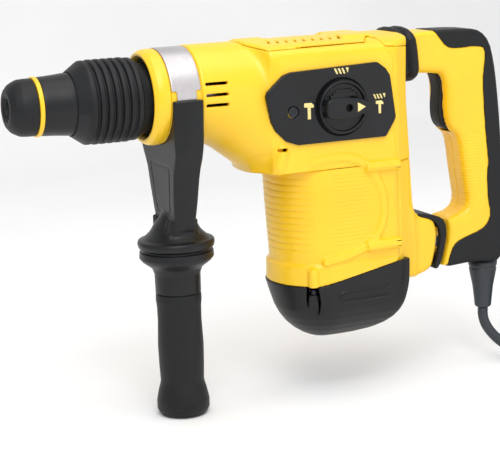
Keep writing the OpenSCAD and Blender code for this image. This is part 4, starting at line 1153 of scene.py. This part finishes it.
class HAMMER_OT_side_handle(Operator):
    """Builds the clamp band, the yoke under it, the flanged collar and the soft grip"""
    bl_idname = "hammer.side_handle"
    bl_label = "Side handle"

    def execute(self, context):
        self.band()
        self.yoke()
        self.collar()
        self.grip()
        return {"FINISHED"}

    def band(self):
        """A thin strip over the barrel, necked where it dives into the yoke"""
        radius = BARREL_R + 0.1
        neck = [block((x - 6, side * 44 - 12, -5), (x + 4.2, side * 44 + 12, 7.5), edge=1.6)
                for x in (BAND_X0, BAND_X1 + 1.8) for side in (-1, 1)]
        strip = cut(0, rod("x", (0, 0), radius + 1.25, BAND_X0, BAND_X1, edge=0.3),
                    rod("x", (0, 0), radius, BAND_X0 - 9, BAND_X1 + 9),
                    block((BAND_X0 - 9, -99, -99), (BAND_X1 + 9, 99, -0.5)), *neck)
        piece = moulding("clamp_band_strip", strip, (BAND_X0 - 1, -43, -2), (BAND_X1 + 1, 43, 43),
                         band_aluminium(), "alloy_band", step=(0.8, 0.55, 0.55))
        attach(piece, "side_handle")
        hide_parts("clamp_band")

    def yoke(self):
        """A fork that holds the barrel, tapering down to a conical flange"""
        front = [(-45, 0.2), (-44.6, -20), (-43, -45), (-34.5, -62), (-30, -84), (-25, -108), (-21, -116)]
        front = mirrored(soften(front, 1, closed=False))
        side = [(-12.6, 0.2), (-12.4, -30), (-11.6, -48), (-10.3, -84), (-9.2, -101), (-9.2, -116)]
        side = [(SIDE_X + u, v) for u, v in side] + [(SIDE_X - u, v) for u, v in reversed(side)]
        body = meet(2.4, prism("x", front, 90, 190), prism("y", side, -99, 99))
        facet = both_sides(lambda x, y, z: (-(x - SIDE_X) * 0.30 - y * 0.954)
                           - np.interp(z, [-108, -84, -62, -45, 0], [24, 28.5, 33, 41.5, 43.6]))
        body = meet(1.2, body, facet)
        gussets = [block((SIDE_X - 13, y - 1.2, FLANGE_Z + 12), (SIDE_X + 13, y + 1.2, FLANGE_Z + 26),
                         edge=1.0)
                   for y in (-18, -13.5, 13.5, 18)]
        flange = join(1.5, cone((SIDE_X, 0, FLANGE_Z + 19.5), 15, (SIDE_X, 0, FLANGE_Z + 8), 22),
                      rod("z", (SIDE_X, 0), 32.3, FLANGE_Z + 0.4, FLANGE_Z + 7.5, edge=1.6))

        def cone_top(x, y, z):
            radius = np.hypot(x - SIDE_X, y)
            return corner((radius - np.interp(z, [FLANGE_Z + 5, FLANGE_Z + 18], [32, 17.5])) * 0.72,
                          FLANGE_Z + 4 - z, z - FLANGE_Z - 18.5)
        flange = join(2.0, flange, cone_top)
        shape = join(3, body, flange, *gussets)
        panel = rounded_profile([(-22, -57, 4), (22, -57, 4), (14, -98, 4), (-14, -98, 4)])

        def outlined(x, y, z):
            line = np.abs(outline_distance(panel, y, z)) + 50 * (x > SIDE_X)
            return shape(x, y, z) + groove(line, 1.0, 0.7)
        fork = cut(0.6, outlined, rod("x", (0, 0), BARREL_R + 0.15, 0, 400),
                   rod("z", (SIDE_X, 0), 4.1, -400, -45),
                    rod("z", (SIDE_X, 0), 8, -BARREL_R - 10, 0))
        piece = moulding("handle_yoke_moulding", fork, (SIDE_X - 34, -46, FLANGE_Z - 1),
                         (SIDE_X + 34, 46, 1.5),
                         black_nylon(), "black_plastic", step=(1.1, 1.1, 1.1))
        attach(piece, "side_handle")
        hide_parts("handle_yoke")

    def collar(self):
        top, bottom = span("grip_collar")[1][2], span("grip_collar")[0][2]
        piece = turned("grip_collar_moulding", "z", (SIDE_X, 0), [
            (4.2, top), (29, top, 0.4), (29.4, top - 1.6, 0.6), (31.4, top - 2.2, 0.8),
            (31.8, top - 7.4, 1.6),
            (29.6, top - 10.4, 2), (21.5, top - 16.5, 5), (19.6, top - 22, 6), (19.4, bottom + 0.6, 0.6),
            (18.6, bottom, 0.3), (4.2, bottom),
        ], black_nylon(), "black_plastic", steps=192)
        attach(piece, "side_grip")
        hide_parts("grip_collar")

    def grip(self):
        """The soft sleeve: a seam under the collar, a slight belly and a flared round end"""
        top = span("grip_collar")[0][2]
        piece = turned("side_grip_moulding", "z", (SIDE_X, 0), [
            (4.2, top), (18.2, top, 0.3), (19.3, top - 0.8, 0.6), (19.6, top - 6, 3), (18.9, top - 12, 12),
            (18.7, top - 24, 20), (19.6, top - 46, 30), (19.3, top - 62, 25), (18.6, top - 78, 12),
            (20.8, top - 86, 8), (22.6, FLOOR_Z + 13, 4), (22.6, FLOOR_Z + 6, 4), (20, FLOOR_Z + 0.8, 3),
            (14, FLOOR_Z + 0.1, 4), (0, FLOOR_Z + 0.1), (0, top - 23), (4.2, top - 23),
        ], soft_grip(), "rubber", steps=192)
        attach(piece, "side_grip")
        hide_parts("side_grip")


# ------------------------------------------------------------------ rear handle

def handle_outline():
    """The loop of the rear handle seen from the side, without its hand gap"""
    return soften([(REAR_X + u, z) for u, z in (
        (8, 2), (8, 37), (30, 39), (74, 38), (85, 35.5), (94, 26), (98.5, 9), (101.5, -12), (105, -50),
        (107.5, -95),
        (107.5, -118), (110, -134), (109, -146), (109, -160), (106, -172), (100, -177), (78, -173.5),
        (42.5, -175.5), (45, -167), (50.5, -146), (49, -132), (42, -125.5), (29, -122), (28, -119),
        (36, -118),
        (50, -124))][:22], 1)


def hand_gap():
    return soften([(REAR_X + u, z) for u, z in (
        (-30, 3), (10, 2.5), (43, 1), (47, -3), (49, -14), (48.5, -36), (53, -50), (61, -56.5), (63.5, -64),
        (66, -84),
        (69, -104), (71, -116), (69, -124.5), (58, -130), (36, -130.5), (20, -118), (-30, -100))], 1)


def soft_cover_edge():
    """The hard shells fill this outline, and the soft cover takes what is left of the handle"""
    return soften([(REAR_X + u, z) for u, z in (
        (-10, 60), (34, 60), (34, 42), (41, 33), (49, 23.5), (58, 22), (80, 23), (89, 20), (88, 6),
        (86, -8), (88, -45),
        (90.5, -72), (92, -84), (90, -92), (91, -118), (94, -130), (91, -139), (84, -145), (62, -151),
        (54, -156),
        (49, -168), (46, -182), (-10, -182))], 1)


class HAMMER_OT_rear_handle(Operator):
    """Builds the handle's shells, its soft cover, the trigger, the bellows and the lower seal"""
    bl_idname = "hammer.rear_handle"
    bl_label = "Rear handle"

    def execute(self, context):
        self.shells_and_cover()
        self.trigger()
        self.bellows()
        self.seal()
        return {"FINISHED"}

    def shells_and_cover(self):
        edge = 9.0
        loop = prism("y", handle_outline(), -HANDLE_Y, HANDLE_Y, edge=4)
        gap = prism("y", hand_gap(), -60, 60)
        round_loop = cut(edge, loop, gap)
        rib = mm(sizes().grip_rib)
        ribbed = soften([(REAR_X + u, z) for u,
                         z in ((60, -58), (82, -52), (84, -70), (86, -118), (68, -122))], 1)

        def body(x, y, z):
            lines = groove(repeat(z, rib), 0.8, 0.4) * (1 - ease(outline_distance(ribbed, x, z), -2.5, -0.5))
            frame_line = groove(np.abs(outline_distance(ribbed, x, z)), 0.8, 0.3)
            return round_loop(x, y, z) + np.maximum(lines, frame_line) * ease(np.abs(y), 6, 10)
        hard = prism("y", soft_cover_edge(), -60, 60)
        tunnel = block((REAR_X + 12, -12, 5), (REAR_X + 62, 12, 30), edge=3)
        shaft = block((REAR_X + 58, -11, -52), (REAR_X + 86, 11, -6), edge=2)
        slot = block((REAR_X + 30, -9.4, -53.5), (REAR_X + 68, 9.4, -0.2), edge=0.5)
        way = rod("y", LOWER_JOINT, 12.6, -20, 20)
        spring_seat = rod("x", (0, 21), 9, REAR_X + 4, REAR_X + 13.5)
        half_seam = 0.15
        yellow = cut(0.4, meet(0.5, body, hard), tunnel, shaft, slot, spring_seat)
        for side, node in ((-1, "handle_shell_left"), (1, "handle_shell_right")):
            lug = join(0, rod("y", LOWER_JOINT, 9, side * 7 - 2.5, side * 7 + 2.5),
                       prism("y", [(REAR_X + 37, -159), (REAR_X + 56, -157), (REAR_X + 56, -143),
                                   (REAR_X + 37, -141)],
                             side * 7 - 2.5, side * 7 + 2.5))
            lug = cut(0, lug, rod("y", LOWER_JOINT, 5.1, -40, 40))
            half = cut(0, yellow, lambda x, y, z, side=side: half_seam - side * y, way)
            piece = moulding(node + "_moulding", join(0, half, lug), (REAR_X + 5, -20, -182),
                             (BACK_X + 2, 20, 46),
                             yellow_nylon(), "yellow_plastic", step=(1.2, 1.2, 0.7))
            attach(piece, "rear_handle")
            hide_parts(node)
        cover = cut(0.5, grow(round_loop, 0.45), hard)
        cover = cut(0, cover, way)
        piece = moulding("handle_soft_cover", cover, (REAR_X + 18, -20, -182), (BACK_X + 3, 20, 46),
                         soft_grip(),
                         "rubber", step=(1.2, 1.2, 1.2))
        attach(piece, "rear_handle")
        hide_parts("handle_overmould")

    def trigger(self):
        """A curved paddle with a concave front and a rounded foot"""
        outline = soften([(REAR_X + u, z) for u, z in (
            (42.5, 0.5), (44.5, -4), (47, -14), (45, -28), (45.5, -40), (49, -48), (56, -52), (60, -46),
            (60.8, -30),
            (60.8, -3), (52, 1))], 2)
        paddle = prism("y", outline, -8.8, 8.8, edge=3.2)

        def field(x, y, z):
            return paddle(x, y, z) + groove(np.abs(np.abs(y) - 4.5), 1.0,
                                            0.35) * (1 - ease(x, REAR_X + 48, REAR_X + 52))
        piece = moulding("trigger_moulding", field, (REAR_X + 37, -10, -55), (REAR_X + 62, 10, 3),
                         soft_grip(),
                         "rubber", step=(0.8, 0.8, 0.8))
        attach(piece, "trigger")
        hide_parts("trigger")

    def bellows(self):
        """The ribbed rubber boot between the housing and the handle's upper arm"""
        section = soften([(-20, -1), (20, -1), (22, 20), (20, 39.5), (-20, 39.5), (-22, 20)], 2)
        start, end = REAR_X - 3, REAR_X + 17

        def field(x, y, z):
            lean = x - 0.10 * (20 - z)
            along = np.clip((lean - start) / (end - start), 0, 1)
            ridges = 1.2 + 3.0 * np.abs(np.sin(2 * math.pi * along)) ** 0.8
            flat = outline_distance(section, y, z)
            return corner(np.maximum(flat - ridges, -flat - 1.0 + 1.2) * 0.8, start - lean, lean - end)
        piece = moulding("handle_bellows_moulding", field, (REAR_X - 6, -30, -9), (REAR_X + 22, 30, 50),
                         soft_grip(), "rubber", step=(0.8, 1.0, 1.0))
        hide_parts("handle_bellows")
        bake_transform(piece)

    def seal(self):
        """The V-shaped rubber strip round the handle's lower joint"""
        outline = soften([(REAR_X + u, z) for u, z in (
            (14, -121.5), (28, -123.6), (40, -128), (44, -134.5), (44.5, -146), (41, -161), (36.2, -174),
            (30.5, -174),
            (34.5, -163), (38, -147), (36.5, -135), (29, -128.5), (15, -125))], 1)
        shape = cut(0.5, prism("y", outline, -22.5, 22.5, edge=1.2), rod("y", LOWER_JOINT, 12.4, -18, 18))
        piece = moulding("lower_joint_seal", shape, (REAR_X + 10, -24, -178), (REAR_X + 49, 24, -117),
                         soft_grip(),
                         "rubber", step=(0.8, 1.2, 0.8))
        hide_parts("joint_gasket")
        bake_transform(piece)


# ------------------------------------------------------------------ inner parts

class HAMMER_OT_springs(Operator):
    """Winds the three coil springs, each of which pushes two bodies apart"""
    bl_idname = "hammer.springs"
    bl_label = "Springs"

    def execute(self, context):
        self.wind("lock_spring", 1.2, 6, ("lock_sleeve", "spindle"))
        self.wind("damper_spring", 1.2, 4, ("housing", "rear_handle"))
        self.wind("trigger_spring", 0.6, 6, ("trigger", "rear_handle"))
        return {"FINISHED"}

    def wind(self, node, wire, turns, bodies):
        """A helix along X in the space of a CAD spring; the bodies argument is not used"""
        (x0, y0, z0), (x1, y1, z1) = span(node)
        centre, radius = ((y0 + y1) / 2, (z0 + z1) / 2), (y1 - y0) / 2 - wire
        x0, x1 = x0 + wire, x1 - wire
        path = [(x0 + (x1 - x0) * t, centre[0] + radius * math.cos(2 * math.pi * turns * t),
                 centre[1] + radius * math.sin(2 * math.pi * turns * t)) for t in np.linspace(0, 1,
                                                                                              24 * turns + 1)]
        piece = tube(node + "_coil", path, wire, ground_steel(), "bare_steel", sides=10)
        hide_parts(node)
        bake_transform(piece)


class HAMMER_OT_inner_parts(Operator):
    """Gives every CAD part that stays its own finish"""
    bl_idname = "hammer.inner_parts"
    bl_label = "Inner parts"

    def execute(self, context):
        slots = node_slots()
        for name, node in frame["nodes"].items():
            material = SLOT_MATERIALS[slots[name]]()
            node.data.materials.clear()
            node.data.materials.append(material)
        return {"FINISHED"}


def node_slots():
    """The record's material slot of each CAD node"""
    return {part["node"]: part["material_slot"] for part in frame["record"]["subparts"]}


# ------------------------------------------------------------------ add-on

class HAMMER_PT_panel(Panel):
    """Lists the steps that build the hammer"""
    bl_label = "Combination Hammer"
    bl_idname = "HAMMER_PT_panel"
    bl_space_type = "VIEW_3D"
    bl_region_type = "UI"
    bl_category = "Hammer"

    def draw(self, context):
        for group in ("hammer_sizes", "hammer_colours", "hammer_stage"):
            box = self.layout.box()
            settings = getattr(context.scene, group)
            for name in settings.__annotations__:
                box.prop(settings, name)
        for step in STEPS:
            self.layout.operator(step.bl_idname)


STEPS = (HAMMER_OT_stage, HAMMER_OT_cord, HAMMER_OT_nose, HAMMER_OT_casings, HAMMER_OT_selector,
         HAMMER_OT_side_handle, HAMMER_OT_rear_handle, HAMMER_OT_springs, HAMMER_OT_inner_parts)
GROUPS = {"hammer_sizes": HammerSizes, "hammer_colours": HammerColours, "hammer_stage": StageSettings}


def register():
    for kind in (*GROUPS.values(), *STEPS, HAMMER_PT_panel):
        bpy.utils.register_class(kind)
    for name, kind in GROUPS.items():
        setattr(bpy.types.Scene, name, PointerProperty(type=kind))


def unregister():
    for name in GROUPS:
        delattr(bpy.types.Scene, name)
    for kind in reversed((*GROUPS.values(), *STEPS, HAMMER_PT_panel)):
        bpy.utils.unregister_class(kind)


def main():
    register()
    for step in STEPS:
        group, name = step.bl_idname.split(".")
        result = getattr(getattr(bpy.ops, group), name)()
        if result != {"FINISHED"}:
            raise RuntimeError(f"{step.bl_idname} did not finish")


if __name__ == "__main__":
    main()
